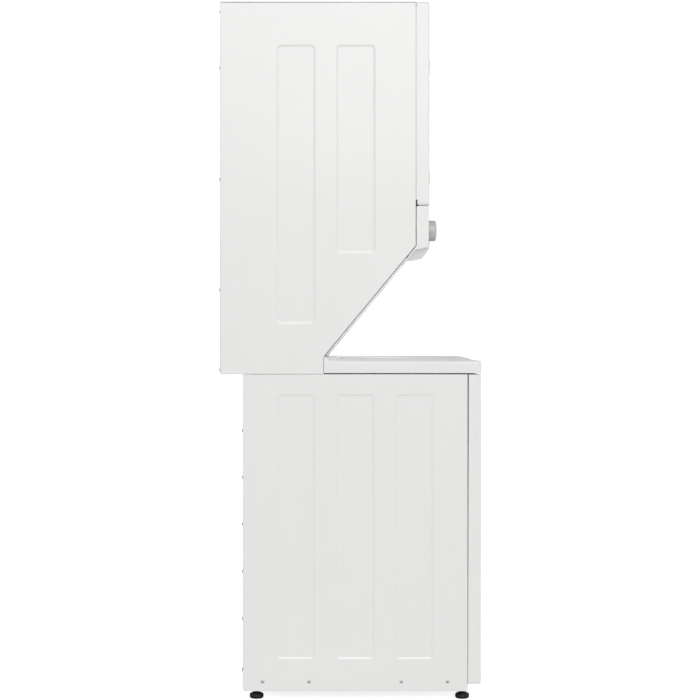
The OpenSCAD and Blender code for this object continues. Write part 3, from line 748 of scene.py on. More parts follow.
# ------------------------------------------------------------------ sloping panel
A = Vector((-171.5, 1186.0))
U = Vector((0.6387, -0.7697))
NN = Vector((-0.7697, -0.6387))


def slope3(u, v, d):
    q = A + U * v + NN * (2.6 - d)
    return (u, q.x, q.y)


mb = MB()
sheet_panel(mb, rr(-HW + 1, HW - 1, 38, 371, 3, 4), slope3, rim(0.9, 2.1, 4), [(rr(-255, 255, 72, 338, 18, 8), press(9.0, 1.0))])
build("slanted_skin", mb, WHITE, "cabinet", ["slanted_panel"], (0, NN.x, NN.y), 0.9)

# ------------------------------------------------------------------ top frame of the washer


def top_z(x, y):
    """Height of the top frame's skin: a platform with softly rounded shoulders."""
    def shoulder(t):  # t: 0 at the rim, 1 on the platform
        t = max(0.0, min(1.0, t))
        return 884.5 + 9.0 * (math.sin(t * pi / 2) ** 1.15)
    sx = (HW - abs(x)) / 26.0
    sy = (y + 342) / 50.0
    return min(shoulder(sx), shoulder(sy))


mb = MB()
outline = rr(-HW, HW, -342, 69, 9, 8)
loops = [(0, 854.0), (0, 880.5)]
prev = None
for ins, z in [(0, 854.0), (0, 881.0), (0.35, 883.0), (1.4, 884.6), (3.0, 885.6)]:
    p2 = inset(outline, ins) if ins else outline
    cur = mb.loop([(x, y, z) for x, y in p2])
    if prev:
        mb.bridge(prev, cur)
    prev = cur
ring_outer = p2
# shoulders: the outline draws in, further at the front than at the sides, and not at all at the back
steps = 8


def pull_in(p, t):
    x, y = p
    sx, sy = 24.0 * t, 46.0 * t
    nx = x
    lim = HW - 3.0
    f = max(0.0, (abs(x) - (lim - 9)) / 9.0)
    nx = math.copysign(max(0.0, abs(x) - sx * min(1.0, f)), x) if abs(x) > lim - 9 else x
    ny = y
    if y < -342 + 3 + 9:
        g = max(0.0, ((-342 + 12) - y) / 9.0)
        ny = y + sy * min(1.0, g)
    return nx, ny


def shoulder_loop(t):
    x0, x1 = -HW + 3 + 24 * t, HW - 3 - 24 * t
    z = 885.6 + (893.5 - 885.6) * math.sin(t * pi / 2)
    y0 = -339 + 20.5 * (z - 885.6) / 4.2 if z < 889.8 else -318.5 + 27.5 * (z - 889.8) / 3.7
    r = 6 + 14 * t
    pts = rr(x0, x1, y0, 66, r, 8)
    # the back edge stays at y 66 at every step; the points are copied as they are
    q = []
    for i, (x, y) in enumerate(pts):
        q.append((x, y))
    return q, z


for k in range(1, steps + 1):
    q, z = shoulder_loop(k / steps)
    cur = mb.loop([(x, y, z) for x, y in q])
    mb.bridge(prev, cur)
    prev, plat2 = cur, q
lid_hole = rr(-206.5, 206.5, -286.5, 16.5, 31.5, 8)
hloop = None
prev_h = None
for ins, z in [(-1.5, 893.5), (-0.6, 893.3), (0, 892.7), (0.2, 890.0), (0.6, 864.0), (1.4, 862.4)]:
    p2 = inset(lid_hole, ins) if ins else lid_hole
    cur = mb.loop([(x, y, z) for x, y in p2])
    if prev_h:
        mb.bridge(prev_h, cur)
    else:
        hloop = (cur, p2)
    prev_h = cur
mb.region(prev, plat2, [hloop])
build("washer_top_skin", mb, WHITE, "cabinet", ["washer_top_frame"], (0, 0, 1), 1.2)

# raised strip along the back, with a full-height cheek at each end


def ledge_z(x, y):
    h = 887.0 + 11.0 * min(1.0, max(0.0, (HW - abs(x)) / 26.0))
    ledge = h if y >= 37 else (h - 2.4 * (1 - (1 - ((37 - y) / 2.0) ** 2) ** 0.5) if y > 35 else h - 2.4)
    cheek = 884.5 + (y - 52.5) if y > 52.5 else 0.0
    top = max(ledge, min(cheek, 898.0))
    if y > 67.4:
        top = min(top, 898.0 - (y - 67.4))
    return top


mb = MB()
prev = None
lys = [35.0, 35.2, 35.6, 36.2, 37.0, 44.0, 52.5, 55.0, 57.5, 60.0, 62.0, 64.0, 65.4, 66.4, 67.4, 68.2, 69.0]
lxs = [HW - 0.25, HW - 0.6, HW - 1.2, 301.2, 299, 296, 292, 288, 284, 280, 278, 277, 276, 270, 240, 160, 80]
for x in [-v for v in lxs] + [0] + lxs[::-1]:
    dz = {HW - 0.25: 0.5, HW - 0.6: 0.12}.get(abs(x), 0.0)
    base = 854.4 if abs(x) > 301.3 else 889.0
    if abs(x) <= 301.3:
        base = min(889.0, 887.0 + 11.0 * (HW - abs(x)) / 26.0 - 4.0)
    pts = [(x, y, ledge_z(x, y) - dz) for y in lys]
    cur = mb.loop(pts + [(x, 69.0, base), (x, 35.0, base)])
    if prev:
        mb.bridge(prev, cur)
    else:
        mb.cap(cur)
    prev = cur
mb.cap(prev)
build("washer_top_ledge", mb, WHITE, "cabinet", (), sharp=35)

mb = MB()
for s in (-1, 1):
    x0, x1 = (226, 236) if s > 0 else (-236, -226)
    prof = [(25.6, 893.2), (25.9, 895.8), (26.8, 897.1), (28.0, 897.5), (32.0, 897.5), (33.2, 897.1), (34.1, 895.8), (34.4, 893.2)]
    a = mb.loop([(x0, y, z) for y, z in prof])
    b = mb.loop([(x1, y, z) for y, z in prof])
    mb.bridge(a, b)
    mb.cap(a)
    mb.cap(b)
build("lid_hinge_ears", mb, WPLAST, "cabinet", (), sharp=40)

# ------------------------------------------------------------------ lid
Z_LID = 897.5
mb = MB()


def lid_z(y):
    """Top of the lid along its length: flat, then rolled down at the front."""
    if y > -288:
        return Z_LID
    t = (-288 - y) / 30.0
    return Z_LID - 6.0 * (t ** 1.25)


def lid_loop(ins, dz, r):
    pts = rr(-225 + ins, 225 - ins, -318 + ins, 31.0 - ins, r, 8)
    return pts, [(x, y, lid_z(y) - dz * (1 - 0.62 * min(1.0, max(0.0, (-286 - y) / 30.0)))) for x, y in pts]


prev = None
for ins, dz, r in [(1.2, 3.4, 4.8), (0.3, 3.25, 5.7), (0.0, 2.9, 6.0), (0.0, 1.1, 6.0), (0.12, 0.7, 6.0), (0.5, 0.3, 6.0), (1.2, 0.05, 6.0), (2.2, 0.0, 6.0)]:
    p2, p3 = lid_loop(ins, dz, r)
    cur = mb.loop(p3)
    if prev:
        mb.bridge(prev, cur)
    else:
        start = cur
    prev = cur
# the top: strips across so that the rolled front stays smooth
ys = [-312, -308, -304, -300, -296, -292, -288, -284, -270]
prev_poly = p2
front = [(i, p) for i, p in zip(prev, p2)]
inner_rows = []
pts2, idx = list(p2), list(prev)
extra2, extra3 = [], []
for y in ys:
    for k in range(13):
        x = -214 + 428 * k / 12
        extra2.append((x, y))
        extra3.append((x, y, lid_z(y)))
ex = mb.loop(extra3)
allp = [Vector(p) for p in pts2 + extra2]
alli = idx + ex
n0 = len(pts2)
cons = [(k, (k + 1) % n0) for k in range(n0)]
for r_i in range(len(ys)):
    for k in range(12):
        cons.append((n0 + r_i * 13 + k, n0 + r_i * 13 + k + 1))
co, _, fs, ov, _, _ = delaunay_2d_cdt(allp, cons, [], 0, 1e-5)
for f in fs:
    c = sum((co[i] for i in f), Vector((0, 0))) / len(f)
    if inside((c.x, c.y), p2):
        mb.f.append(tuple(alli[ov[i][0]] for i in f))
# underside: turned lip, then the flat and the pan that drops into the opening
und = [(-223.5, 223.5, -316.2, 29.6, 5.0, 2.4), (-221.0, 221.0, -312.0, 28.0, 5.0, 2.9)]
prev = start
for x0, x1, y0, y1, r, dz in und:
    pts = rr(x0, x1, y0, y1, r, 8)
    cur = mb.loop([(x, y, lid_z(y) - dz) for x, y in pts])
    mb.bridge(prev, cur)
    prev, last2 = cur, pts
und2, und3 = [], []
for y in (-308, -300, -294, -288):
    for k in range(13):
        und2.append((-214 + 428 * k / 12, y))
        und3.append((-214 + 428 * k / 12, y, lid_z(y) - 2.9))
ex = mb.loop(und3)
pan_out = rr(-200, 200, -279, 6, 26, 8)
prev_p = None
for ins, z in [(-1.2, 894.6), (-0.3, 894.2), (0.0, 893.4), (0.3, 883.0), (0.9, 882.2), (1.8, 882.0), (2.6, 882.4), (3.0, 883.4), (3.6, 894.5), (4.6, 895.8), (6.5, 896.1)]:
    q2 = inset(pan_out, ins) if ins else pan_out
    cur = mb.loop([(x, y, z) for x, y in q2])
    if prev_p:
        mb.bridge(prev_p, cur)
    else:
        pan_first, pan_first2 = cur, q2
    prev_p = cur
mb.cap(prev_p)
allp = [Vector(p) for p in list(last2) + list(pan_first2) + und2]
alli = list(prev) + list(pan_first) + ex
n0, n1 = len(last2), len(pan_first2)
cons = [(k, (k + 1) % n0) for k in range(n0)] + [(n0 + k, n0 + (k + 1) % n1) for k in range(n1)]
co, _, fs, ov, _, _ = delaunay_2d_cdt(allp, cons, [], 0, 1e-5)
for f in fs:
    c = sum((co[i] for i in f), Vector((0, 0))) / len(f)
    if inside((c.x, c.y), last2) and not inside((c.x, c.y), pan_first2):
        mb.f.append(tuple(alli[ov[i][0]] for i in f))
build("lid_skin", mb, WHITE, "lid", ["washer_lid"], (0, 0, 1))

mb = MB()
for s in (-1, 1):
    lathe(mb, [(0, 224.5), (1.3, 224.5), (1.5, 224.8), (1.5, 234.6), (1.3, 235.0), (0, 235.0)], lambda a, b, h, s=s: (s * h, 30 + a, 895.9 + b), 20)
build("lid_pins", mb, BRIGHT, "lid", ())
mb = MB()
for x in (-190, 190):
    lathe(mb, [(0, 893.85), (4.6, 893.85), (5.0, 894.1), (5.0, 894.6), (0, 894.6)], lambda a, b, h, x=x: (x * 1.1, -283.5 + b, h), 24)
build("lid_bumpers", mb, PAD, "lid", ())

# ------------------------------------------------------------------ knobs
KNOBS = {"wash_temperature_knob": (-128.0, 20.5, 17.0), "wash_cycle_knob": (-222.0, 27.9, 21.8), "dry_cycle_knob": (222.0, 27.9, 21.8)}
KZ = 1230.0
for nname, (kx, KR, KH) in KNOBS.items():
    body = [b for b, m in frame["record"]["behaviour"]["bodies"].items() if nname in m][0]
    mb = MB()
    y0 = -207.2

    def k3(a, b, h, kx=kx):
        return (kx + a, y0 - h, KZ + b)

    # a skirted knob with a fluted wall and a gently domed face
    segs = 120
    face_tab = [(0, KH - 0.05), (3, KH - 0.1), (KR * 0.25, KH - 0.3), (KR * 0.44, KH - 0.75), (KR * 0.62, KH - 1.35), (KR * 0.77, KH - 2.0), (KR - 3.8, KH - 2.75)]
    prof = [(0, 0, 0), (KR - 1.1, 0, 0), (KR - 0.3, 0.25, 0), (KR, 0.9, 0), (KR, 2.2, 0), (KR - 0.2, 2.7, 0), (KR - 0.5, 3.1, 0.3), (KR - 0.6, 4.2, 1), (KR - 0.8, KH - 7.2, 1), (KR - 0.9, KH - 5.8, 1),
            (KR - 1.2, KH - 4.8, 0.7), (KR - 1.9, KH - 3.8, 0.3), (KR - 2.8, KH - 3.15, 0)] + [(r, h, 0) for r, h in reversed(face_tab)]
    prev = None
    for r, h, fl in prof:
        if r == 0:
            cur = mb.loop([k3(0, 0, h)])
        else:
            cur = mb.loop([k3((r - 0.4 * fl * (0.5 + 0.5 * math.cos(30 * a))) * math.cos(a), (r - 0.4 * fl * (0.5 + 0.5 * math.cos(30 * a))) * math.sin(a), h) for a in [2 * pi * k / segs for k in range(segs)]])
        if prev is not None:
            if len(prev) == 1:
                for k in range(segs):
                    mb.f.append((prev[0], cur[k], cur[(k + 1) % segs]))
            elif len(cur) == 1:
                for k in range(segs):
                    mb.f.append((prev[(k + 1) % segs], prev[k], cur[0]))
            else:
                mb.bridge(prev, cur)
        prev = cur
    k_obj = build(nname.replace("_knob", "_dial"), mb, GREYP, body, [nname])
    mb = MB()
    lathe(mb, [(0, -207.4), (3.0, -207.4), (3.0, -184.5), (2.6, -184.0), (0, -184.0)], lambda a, b, h, kx=kx: (kx + a, h, KZ + b), 24)
    build(nname.replace("_knob", "_stem"), mb, GREYP, body, ())
    mb = MB()
    pts = rr(kx - 1.4, kx + 1.4, KZ + KR * 0.22, KZ + KR * 0.84, 1.3, 4)

    def dome(u, v):
        r = math.hypot(u - kx, v - KZ)
        for (r0, h0), (r1, h1) in zip(face_tab, face_tab[1:]):
            if r <= r1:
                return h0 + (h1 - h0) * (r - r0) / (r1 - r0)
        return face_tab[-1][1]

    b0 = mb.loop([(u, y0 - dome(u, v) + 0.4, v) for u, v in pts])
    b1 = mb.loop([(u, y0 - dome(u, v) - 0.12, v) for u, v in inset(pts, 0.12)])
    mb.bridge(b0, b1)
    mb.cap(b1)
    mb.cap(b0)
    build(nname.replace("_knob", "_pointer"), mb, POINTER, body, (), wn=False, sharp=50)

# buttons, with a rounded edge and a dished face
for nname, bx in (("wash_start_button", -48.0), ("dry_start_button", 86.0)):
    body = [b for b, m in frame["record"]["behaviour"]["bodies"].items() if nname in m][0]
    mb = MB()
    lathe(mb, [(0, 200), (11, 200), (11, 203.4), (10.8, 203.6), (9.0, 203.6), (9.0, 209.6), (8.7, 210.4), (8.0, 210.9), (7.2, 210.95), (6.0, 210.6), (3.0, 210.2), (0, 210.1)],
          lambda a, b, h, bx=bx: (bx + a, -h, KZ + b), 48)
    build(nname + "_cap", mb, GREYP, body, [nname])

# printed scale round each knob and simple marks: thin raised ink
mb = MB()


def ink(cx, cz, a, r0, r1, w):
    ca, sa = math.cos(a), math.sin(a)
    p = [(r0, -w), (r1, -w), (r1, w), (r0, w)]
    q = [(cx + r * ca - t * sa, cz + r * sa + t * ca) for r, t in p]
    lo = mb.loop([(x, -205.4 - 1.2 * (1 - (x / HW) ** 2) + 0.5, z) for x, z in q])
    hi = mb.loop([(x, -205.4 - 1.2 * (1 - (x / HW) ** 2) - 0.12, z) for x, z in q])
    mb.bridge(lo, hi)
    mb.cap(hi)
    mb.cap(lo)


for kx, kr, count, a0, a1 in ((-128.0, 24.5, 5, 150, 30), (-222.0, 31.5, 24, 0, 345), (222.0, 31.5, 24, 0, 345)):
    for k in range(count):
        a = math.radians(a0 + (a1 - a0) * k / (count - 1))
        big = (count == 5) or k % 4 == 0
        ink(kx, KZ, a, kr, kr + (5.5 if big else 3.0), 0.8 if big else 0.45)
    steps = 48
    if count > 5:
        continue
for bx in (-48.0, 86.0):
    for k in range(36):
        a = 2 * pi * k / 36
        ink(bx, KZ, a, 13.0, 13.5, 0.62)
build("dial_marks", mb, GREYL, "cabinet", (), wn=False, sharp=30)

# ------------------------------------------------------------------ feet
for nname in ("front_left_foot", "front_right_foot", "rear_left_foot", "rear_right_foot"):
    body = [b for b, m in frame["record"]["behaviour"]["bodies"].items() if nname in m][0]
    lo, hi = mmbox(nname)
    cx, cy = (lo[0] + hi[0]) / 2, (lo[1] + hi[1]) / 2
    mb = MB()
    prof = [(0, 0), (12, 0), (14.6, 0.4), (16.6, 1.6), (17.8, 3.4), (18.35, 5.2), (18.5, 7.2), (18.5, 10.6), (18.2, 11.8), (17.4, 12.9), (15.2, 14.4), (12.4, 15.8), (10.6, 16.4), (8.4, 16.7), (6.9, 16.9), (6.6, 17.3),
            (6.6, 19.1), (6.2, 19.5), (0, 19.5)]
    lathe(mb, prof, lambda a, b, h, cx=cx, cy=cy: (cx + a, cy + b, h), 48)
    build(nname + "_pad", mb, FOOT, body, [nname])
    mb = MB()
    # threaded stem: a shallow helix-like ridge drawn as rings
    pr = [(0, 19.2), (4.2, 19.2)]
    z = 19.6
    while z < 60.6:
        pr += [(4.35, z), (5.0, z + 0.55), (4.35, z + 1.1)]
        z += 1.35
    pr += [(4.0, 61.6), (3.4, 62.0), (0, 62.0)]
    lathe(mb, pr, lambda a, b, h, cx=cx, cy=cy: (cx + a, cy + b, h), 24)
    build(nname + "_stem", mb, BRIGHT, body, (), wn=False)

# ------------------------------------------------------------------ screws: hexagon washer heads with a shallow recess in the top
mb = MB()


def screw(pos, n, r, h):
    """A washer-headed hexagon screw standing on pos, head along n."""
    n = Vector(n)
    t1 = n.orthogonal().normalized()
    t2 = n.cross(t1)
    pos = Vector(pos)

    def p3(a, b, z):
        return tuple(pos + t1 * a + t2 * b + n * z)

    lathe(mb, [(0, -1.2), (r, -1.2), (r, 0.25 * h), (r * 0.96, 0.34 * h), (r * 0.80, 0.38 * h)], p3, 30)
    hexr = r * 0.76
    segs = 30

    def hexpt(k, rr_):
        a = 2 * pi * k / segs
        m = math.cos(pi / 6) / math.cos((a % (pi / 3)) - pi / 6)
        return rr_ * m * math.cos(a), rr_ * m * math.sin(a)

    prev = mb.loop([p3(r * 0.80 * math.cos(2 * pi * k / segs), r * 0.80 * math.sin(2 * pi * k / segs), 0.38 * h) for k in range(segs)])
    for rad, z in ((hexr, 0.40 * h), (hexr, 0.86 * h), (hexr * 0.93, 0.96 * h), (hexr * 0.82, h), (hexr * 0.6, h * 0.9), (hexr * 0.5, h * 0.6)):
        cur = mb.loop([p3(*hexpt(k, rad), z) for k in range(segs)])
        mb.bridge(prev, cur)
        prev = cur
    mb.cap(prev)


for s in (-1, 1):
    for z in (862.3, 1072.3, 1360.6, 1652, 1799.4):
        screw((s * 291, YR + 1.0, z), (0, 1, 0), 4.2, 2.0)
    for z in (79.6, 212.6, 335.8, 459.2, 581.8, 704.4):
        screw((s * 291, YW + 1.0, z), (0, 1, 0), 4.2, 2.0)
build("screw_heads", mb, SCREW, "cabinet", ["cabinet_screws"], sharp=35, wn=False)

mb = MB()
for s in (-1, 1):
    for y in (229, 107.6, -133.5, -253.8):
        screw((s * HW, y, 49), (s, 0, 0), 4.0, 2.0)
        lathe(mb, [(3.0, 0.62), (4.9, 0.5), (5.3, 0.25), (5.5, -0.5), (3.0, -0.5), (3.0, 0.62)], lambda a, b, h, s=s, y=y: (s * (HW + h), y + a, 49 + b), 24)
build("base_screw_heads", mb, ZINC, "cabinet", (), sharp=35, wn=False)
mb = MB()
for s in (-1, 1):
    for y in (229, 107.6, -133.5, -253.8):
        lathe(mb, [(0, 0.9), (0, 1.96), (1.5, 1.96), (1.9, 1.8), (1.9, 0.9), (0, 0.9)], lambda a, b, h, s=s, y=y: (s * (HW + h), y + a, 48.5 + b), 20)
    for z in (862.3, 1072.3, 1360.6, 1652, 1799.4):
        lathe(mb, [(3.0, 0.9), (5.0, 0.8), (5.6, 0.45), (5.7, -0.3), (3.0, -0.3), (3.0, 0.9)], lambda a, b, h, s=s, z=z: (s * 291 + a, YR + 1 + h, z + b), 24)
    for z in (79.6, 212.6, 335.8, 459.2, 581.8, 704.4):
        lathe(mb, [(3.0, 0.9), (5.0, 0.8), (5.6, 0.45), (5.7, -0.3), (3.0, -0.3), (3.0, 0.9)], lambda a, b, h, s=s, z=z: (s * 291 + a, YW + 1 + h, z + b), 24)
build("screw_washers", mb, SCREW, "cabinet", (), sharp=35, wn=False)

# painted shade: dark rubber strips set into the joints between the panels, darkening the seams where shade falls
mb = MB()
for s in (-1, 1):
    for x0, x1, y0, y1, z0, z1 in ((HW - 4.0, HW - 0.02, 69.05, 70.0, 856.0, 896.5), (HW - 5.4, HW - 0.8, -309.5, -306.3, 360.0, 849.0), (HW - 5.4, HW - 1.4, -308.6, -306.6, 849.5, 880.0), (HW - 3.4, HW - 1.05, -176.9, -171.6, 1291.2, 1306.7)):
        a = mb.loop([(s * x0, y0, z0), (s * x1, y0, z0), (s * x1, y1, z0), (s * x0, y1, z0)])
        b = mb.loop([(s * x0, y0, z1), (s * x1, y0, z1), (s * x1, y1, z1), (s * x0, y1, z1)])
        mb.bridge(a, b)
        mb.cap(a)
        mb.cap(b)
# painted shade: the strips' dark colour stands in for the shade inside the panel joints
build("seam_shade_strips", mb, FOOT, "cabinet", (), sharp=35, wn=False)
mb = MB()
for s in (-1, 1):
    for x1, z0, z1 in ((HW - 1.4, 1307.0, 1429.8), (HW - 0.7, 1430.0, 1812.0)):
        x0, y0, y1 = HW - 3.0, YF - 1.3, YF - 0.1
        a = mb.loop([(s * x0, y0, z0), (s * x1, y0, z0), (s * x1, y1, z0), (s * x0, y1, z0)])
        b = mb.loop([(s * x0, y0, z1), (s * x1, y0, z1), (s * x1, y1, z1), (s * x0, y1, z1)])
        mb.bridge(a, b)
        mb.cap(a)
        mb.cap(b)
# the fascia's top lip, under the front panel's lower edge
a = mb.loop([(-HW + 0.9, -205.4, 1289.1), (HW - 0.9, -205.4, 1289.1), (HW - 0.9, -178.0, 1289.1), (-HW + 0.9, -178.0, 1289.1)])
b = mb.loop([(-HW + 0.9, -205.4, 1290.8), (HW - 0.9, -205.4, 1290.8), (HW - 0.9, -178.0, 1290.8), (-HW + 0.9, -178.0, 1290.8)])
mb.bridge(a, b)
mb.cap(a)
mb.cap(b)
build("joint_fillers", mb, WPLAST, "cabinet", (), sharp=35, wn=False)

# ------------------------------------------------------------------ wash basket with its rows of holes
TY = -35.0
mb = MB()
NB = 72
RB = 223.4


def basket3(i, j):
    a = 2 * pi * i / NB
    z = 262 + j * (770 - 262) / 26
    return (RB * math.cos(a), TY + RB * math.sin(a), z)


perforate(mb, NB, 26, basket3, 0.15)
segs2 = [2 * pi * k / (NB * 2) for k in range(NB * 2)]
low = mb.loop([(RB * math.cos(a), TY + RB * math.sin(a), 262) for a in segs2])
prof = [(223.2, 256), (221.5, 250), (216.5, 245.6), (209, 243.6), (170, 243.0), (120, 246.0), (60, 247.5)]
prev = low
for r, z in prof:
    cur = mb.loop([(r * math.cos(a), TY + r * math.sin(a), z) for a in segs2])
    mb.bridge(prev, cur)
    prev = cur
mb.cap(prev)
up = mb.loop([(RB * math.cos(a), TY + RB * math.sin(a), 770) for a in segs2])
up2 = mb.loop([(RB * math.cos(a), TY + RB * math.sin(a), 780) for a in segs2])
mb.bridge(up, up2)
build("basket_shell", mb, ENAMEL, "basket_unit", ["wash_basket"], None, 1.0, wn=False, sharp=40)
mb = MB()
lathe(mb, [(12.2, 150), (20, 150), (20, 232), (46, 232), (46, 243), (12.2, 243), (12.2, 150)], lambda a, b, h: (a, TY + b, h), 48)
build("basket_spin_tube", mb, BRIGHT, "basket_unit", (), sharp=35, wn=False)

mb = MB()
lathe(mb, [(188, 784), (188.6, 781.6), (190.4, 780.3), (193, 780), (222, 780), (225, 780.8), (226, 783), (226, 800), (225.2, 803.8), (222.4, 805.7), (218, 806), (200, 804.6), (192, 802.4), (189, 798.5), (188, 793), (188, 784)],
      lambda a, b, h: (a, TY + b, h), 120)
build("balance_ring_shell", mb, WPLAST, "basket_unit", ["balance_ring"])

# ------------------------------------------------------------------ agitator: post, swept vanes, capped dispenser
mb = MB()
AT = mmbox("agitator")[1][2]
post = [(12.3, 252), (149, 252), (151.4, 252.8), (152, 255), (151.2, 257.4), (148, 259.6), (134, 264), (112, 271.5), (92, 283), (74, 298), (61, 318), (52.5, 342), (47.5, 372), (44.6, 410), (42.6, 480), (41.2, 560), (40.2, AT - 48),
        (40.4, AT - 40), (41.4, AT - 38), (41.4, AT - 34), (40.2, AT - 32), (38.8, AT - 16), (37.6, AT - 9), (34.6, AT - 4), (29.6, AT - 1.6), (26, AT - 0.8), (24.2, AT - 1.6), (23.2, AT - 4.4), (22.0, AT - 14), (18, AT - 17), (0, AT - 17.5)]
lathe(mb, post, lambda a, b, h: (a, TY + b, h), 96)
build("agitator_post", mb, WPLAST, "agitator_unit", ["agitator"])
mb = MB()
for q in range(4):
    base = q * pi / 2
    rows = 12
    prevl = None
    for k in range(rows + 1):
        t = k / rows
        z = 262 + (556 - 262) * t
        reach = 140 - 78 * (t ** 0.55)
        tw = 0.10 * math.sin(t * pi)
        w = 4.2 - 1.6 * t
        pts = []
        for r, ww in ((30, w * 1.7), (44 + 6 * (1 - t), w * 1.1), ((reach + 50) / 2, w), (reach - 3, w * 0.95), (reach, w * 0.55), (reach + 0.8, 0)):
            pts.append((r, ww))
        ring = pts + [(r, -ww) for r, ww in reversed(pts[:-1])]
        a = base + tw
        cur = mb.loop([(r * math.cos(a) - w_ * math.sin(a), TY + r * math.sin(a) + w_ * math.cos(a), z) for r, w_ in ring])
        if prevl:
            mb.bridge(prevl, cur)
        else:
            mb.cap(cur)
        prevl = cur
    mb.cap(prevl)
build("agitator_vanes", mb, WPLAST, "agitator_unit", (), sub=1, wn=False)

# ------------------------------------------------------------------ tumble drum: beaded shell, perforated back, smooth baffles
DZ = 1545.0
mb = MB()
prof = [(197.0, -108.5), (196.4, -110.2), (197.6, -111.6), (200, -112), (246, -112), (251.5, -111.2), (254.4, -108.4), (254.9, -104), (254.9, -72)]


def bead(y, w=9.0, h=2.4):
    return [(254.9 - h * 0.5 * (1 - math.cos(2 * pi * k / 8)), y + w * k / 8) for k in range(0, 9)]


prof += bead(-66) + bead(-50)
prof += [(254.9, 190)]
# the belt runs between 200 and 218, so the beads stay clear of it
prof += bead(226) + bead(242)
prof += [(254.9, 284), (254.2, 290.6), (251.0, 294.4), (246.0, 295.6), (214.0, 295.6)]
lathe(mb, prof, lambda a, b, h: (a, h, DZ + b), 144)
RINGS = 9


def back3(i, j):
    a = 2 * pi * i / 72
    r = 70 + j * (214 - 70) / RINGS
    return (r * math.cos(a), 295.6, DZ + r * math.sin(a))


perforate(mb, 72, RINGS, back3, 0.21)
c144 = [2 * pi * k / 144 for k in range(144)]
p0 = mb.loop([(70 * math.cos(a), 295.6, DZ + 70 * math.sin(a)) for a in c144])
for r, y in ((66, 294.4), (62, 291.0), (56, 289.6), (20, 289.6)):
    p1 = mb.loop([(r * math.cos(a), y, DZ + r * math.sin(a)) for a in c144])
    mb.bridge(p0, p1)
    p0 = p1
mb.cap(p0)
build("drum_shell", mb, DRUM, "drum", ["dryer_drum"], None, 0.9, wn=False, sharp=45)
mb = MB()
lathe(mb, [(0, 289), (30, 289), (30, 300), (12, 300), (12, 323.4), (11.4, 324), (0, 324)], lambda a, b, h: (a, h, DZ + b), 48)
build("drum_rear_shaft", mb, BRIGHT, "drum", (), sharp=35, wn=False)

mb = MB()
for a in (90, 210, 330):
    ca, sa = math.cos(math.radians(a)), math.sin(math.radians(a))
    sect = []
    half = 37.0
    # half-section: radius against offset, from the wall up to the crown
    prof = [(252.6, half), (249.5, half - 0.6), (244, 31.5), (236, 24.5), (226, 18.8), (214, 14.4), (205, 11.4), (201.0, 9.0), (199.0, 5.4), (198.2, 0.0)]
    sect = [(r, w) for r, w in prof] + [(r, -w) for r, w in reversed(prof[:-1])]
    prev = None
    stations = [(-96, 0.30), (-94, 0.62), (-88, 0.84), (-78, 0.96), (-66, 1.0), (60, 1.0), (250, 1.0), (262, 0.96), (272, 0.84), (278, 0.62), (280, 0.30)]
    for y, f in stations:
        ring = []
        for r, w in sect:
            rr_ = 252.6 - (252.6 - r) * f
            ww = w * (0.75 + 0.25 * f)
            lim = math.sqrt(max(0.0, 253.2 ** 2 - ww ** 2))
            rr_ = min(rr_, lim)
            # the drum's own frame: the baffle stands at angle a round +Y, counted from +Z towards +X
            ring.append((rr_ * sa + ww * ca, y, DZ + rr_ * ca - ww * sa))
        cur = mb.loop(ring)
        if prev:
            mb.bridge(prev, cur)
        else:
            mb.cap(cur)
        prev = cur
    mb.cap(prev)
build("drum_lifters", mb, WPLAST, "drum", ["drum_baffles"])

# ------------------------------------------------------------------ finishing of the carried-over nodes


def soften(n, w, seg=2, ang=35):
    md = CAD[n].modifiers.new("edge", "BEVEL")
    md.width = w * MM
    md.segments = seg
    md.limit_method = "ANGLE"
    md.angle_limit = math.radians(ang)
    md.harden_normals = True


for n, w in (("hinge_plates", 0.5), ("door_hinge_leaves", 0.3), ("terminal_block_cover", 0.5), ("washer_rear_panel", 0.35), ("dryer_rear_panel", 0.35), ("water_inlet_valve", 0.8),
             ("drain_pump", 0.8), ("washer_base_frame", 0.6), ("dryer_floor_pan", 0.6), ("front_bulkhead", 0.4), ("tub_ring", 0.8)):
    soften(n, w)

# ------------------------------------------------------------------ stage, light and camera
scene = bpy.context.scene
FLOOR_GLOW = 0.84
SKY = 0.34


def stage_plane(name, pts, mat):
    me = bpy.data.meshes.new(name)
    me.from_pydata(pts, [], [(0, 1, 2, 3)])
    me.materials.append(mat)
    o = bpy.data.objects.new(name, me)
    scene.collection.objects.link(o)
    o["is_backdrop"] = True
    return o


fm, fnt, fb = new_mat("studio_floor")
nt_ = noise(fnt, coords(fnt), 6.0)
fnt.links.new(remap(fnt, nt_, 0.80, 0.92, 0.3, 0.7), fb.inputs["Roughness"])
fb.inputs["Specular IOR Level"].default_value = 0.1
fb.inputs["Emission Color"].default_value = (1, 1, 1, 1)
flp = fnt.nodes.new("ShaderNodeLightPath")
fnt.links.new(ramp(fnt, flp.outputs["Is Camera Ray"], [(0.0, 0.80), (1.0, 0.93)]), fb.inputs["Base Color"])
fnt.links.new(remap(fnt, flp.outputs["Is Camera Ray"], 0.0, FLOOR_GLOW), fb.inputs["Emission Strength"])
S = 60
stage_plane("studio_floor", [(-S, -S, 0), (S, -S, 0), (S, S, 0), (-S, S, 0)], fm)

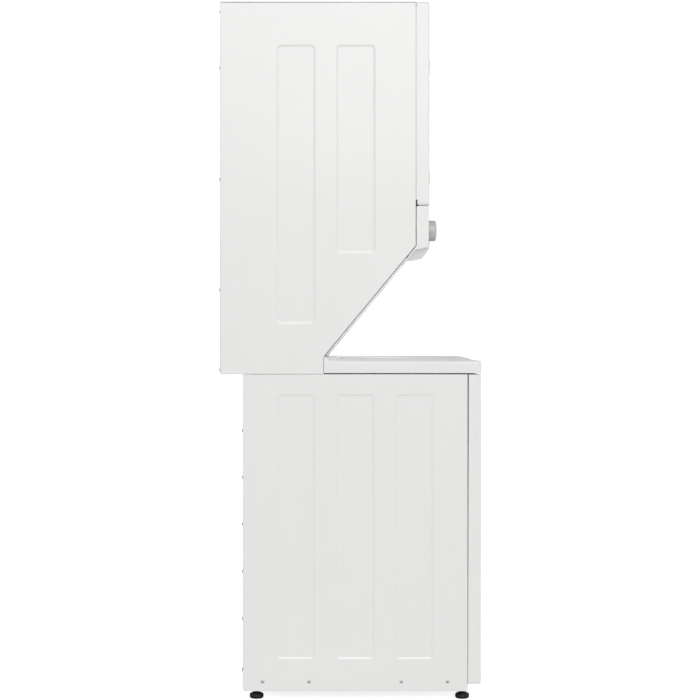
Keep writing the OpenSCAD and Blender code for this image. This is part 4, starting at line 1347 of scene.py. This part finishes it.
w = bpy.data.worlds.new("studio")
scene.world = w
w.use_nodes = True
wn_ = w.node_tree
bg = wn_.nodes["Background"]
bg.inputs["Color"].default_value = (1, 1, 1, 1)
bg.inputs["Strength"].default_value = SKY
bg2 = wn_.nodes.new("ShaderNodeBackground")
bg2.inputs["Color"].default_value = (1, 1, 1, 1)
bg2.inputs["Strength"].default_value = 1.05
lp = wn_.nodes.new("ShaderNodeLightPath")
mx = wn_.nodes.new("ShaderNodeMixShader")
wn_.links.new(lp.outputs["Is Camera Ray"], mx.inputs["Fac"])
wn_.links.new(bg.outputs["Background"], mx.inputs[1])
wn_.links.new(bg2.outputs["Background"], mx.inputs[2])
wn_.links.new(mx.outputs["Shader"], wn_.nodes["World Output"].inputs["Surface"])


def sun(name, d, strength, angle):
    l = bpy.data.lights.new(name, "SUN")
    l.energy = strength
    l.angle = math.radians(angle)
    o = bpy.data.objects.new(name, l)
    o.rotation_euler = Vector(d).to_track_quat("-Z", "Y").to_euler()
    scene.collection.objects.link(o)
    return o


def area(name, loc, target, size, power):
    l = bpy.data.lights.new(name, "AREA")
    l.shape = "RECTANGLE"
    l.size, l.size_y = size
    l.energy = power
    o = bpy.data.objects.new(name, l)
    o.location = loc
    o.visible_camera = False
    o.rotation_euler = (Vector(target) - Vector(loc)).to_track_quat("-Z", "Y").to_euler()
    scene.collection.objects.link(o)
    return o


sun("side_sun", (1.0, 0.03, -0.42), 1.37, 35)
area("side_softbox", (-3.6, -0.9, 3.0), (0, 0, 1.5), (2.6, 2.6), 16)
sun("front_sun", (-0.10, 1.0, 0.10), 1.46, 40)
area("far_card", (3.4, -0.2, 1.4), (0.3, -0.2, 1.2), (3.6, 2.0), 19)
sun("rear_sun", (-0.5, -1.0, -0.35), 0.50, 40)

scene.view_settings.view_transform = "Standard"
scene.view_settings.look = "None"
scene.view_settings.exposure = 0.0
scene.view_settings.gamma = 1.0

cam = bpy.data.cameras.new("camera")
cam_o = bpy.data.objects.new("camera", cam)
scene.collection.objects.link(cam_o)
scene.camera = cam_o
cam.sensor_width = 36.0
DIST = 5.0
cam_o.location = (-HW * MM - DIST, 0.0006, 0.9144)
cam_o.rotation_euler = Vector((1, 0, 0)).to_track_quat("-Z", "Y").to_euler()
cam.lens = 36.0 * DIST / 1.8263
cam.clip_end = 200
cam.dof.use_dof = False

lo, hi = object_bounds()
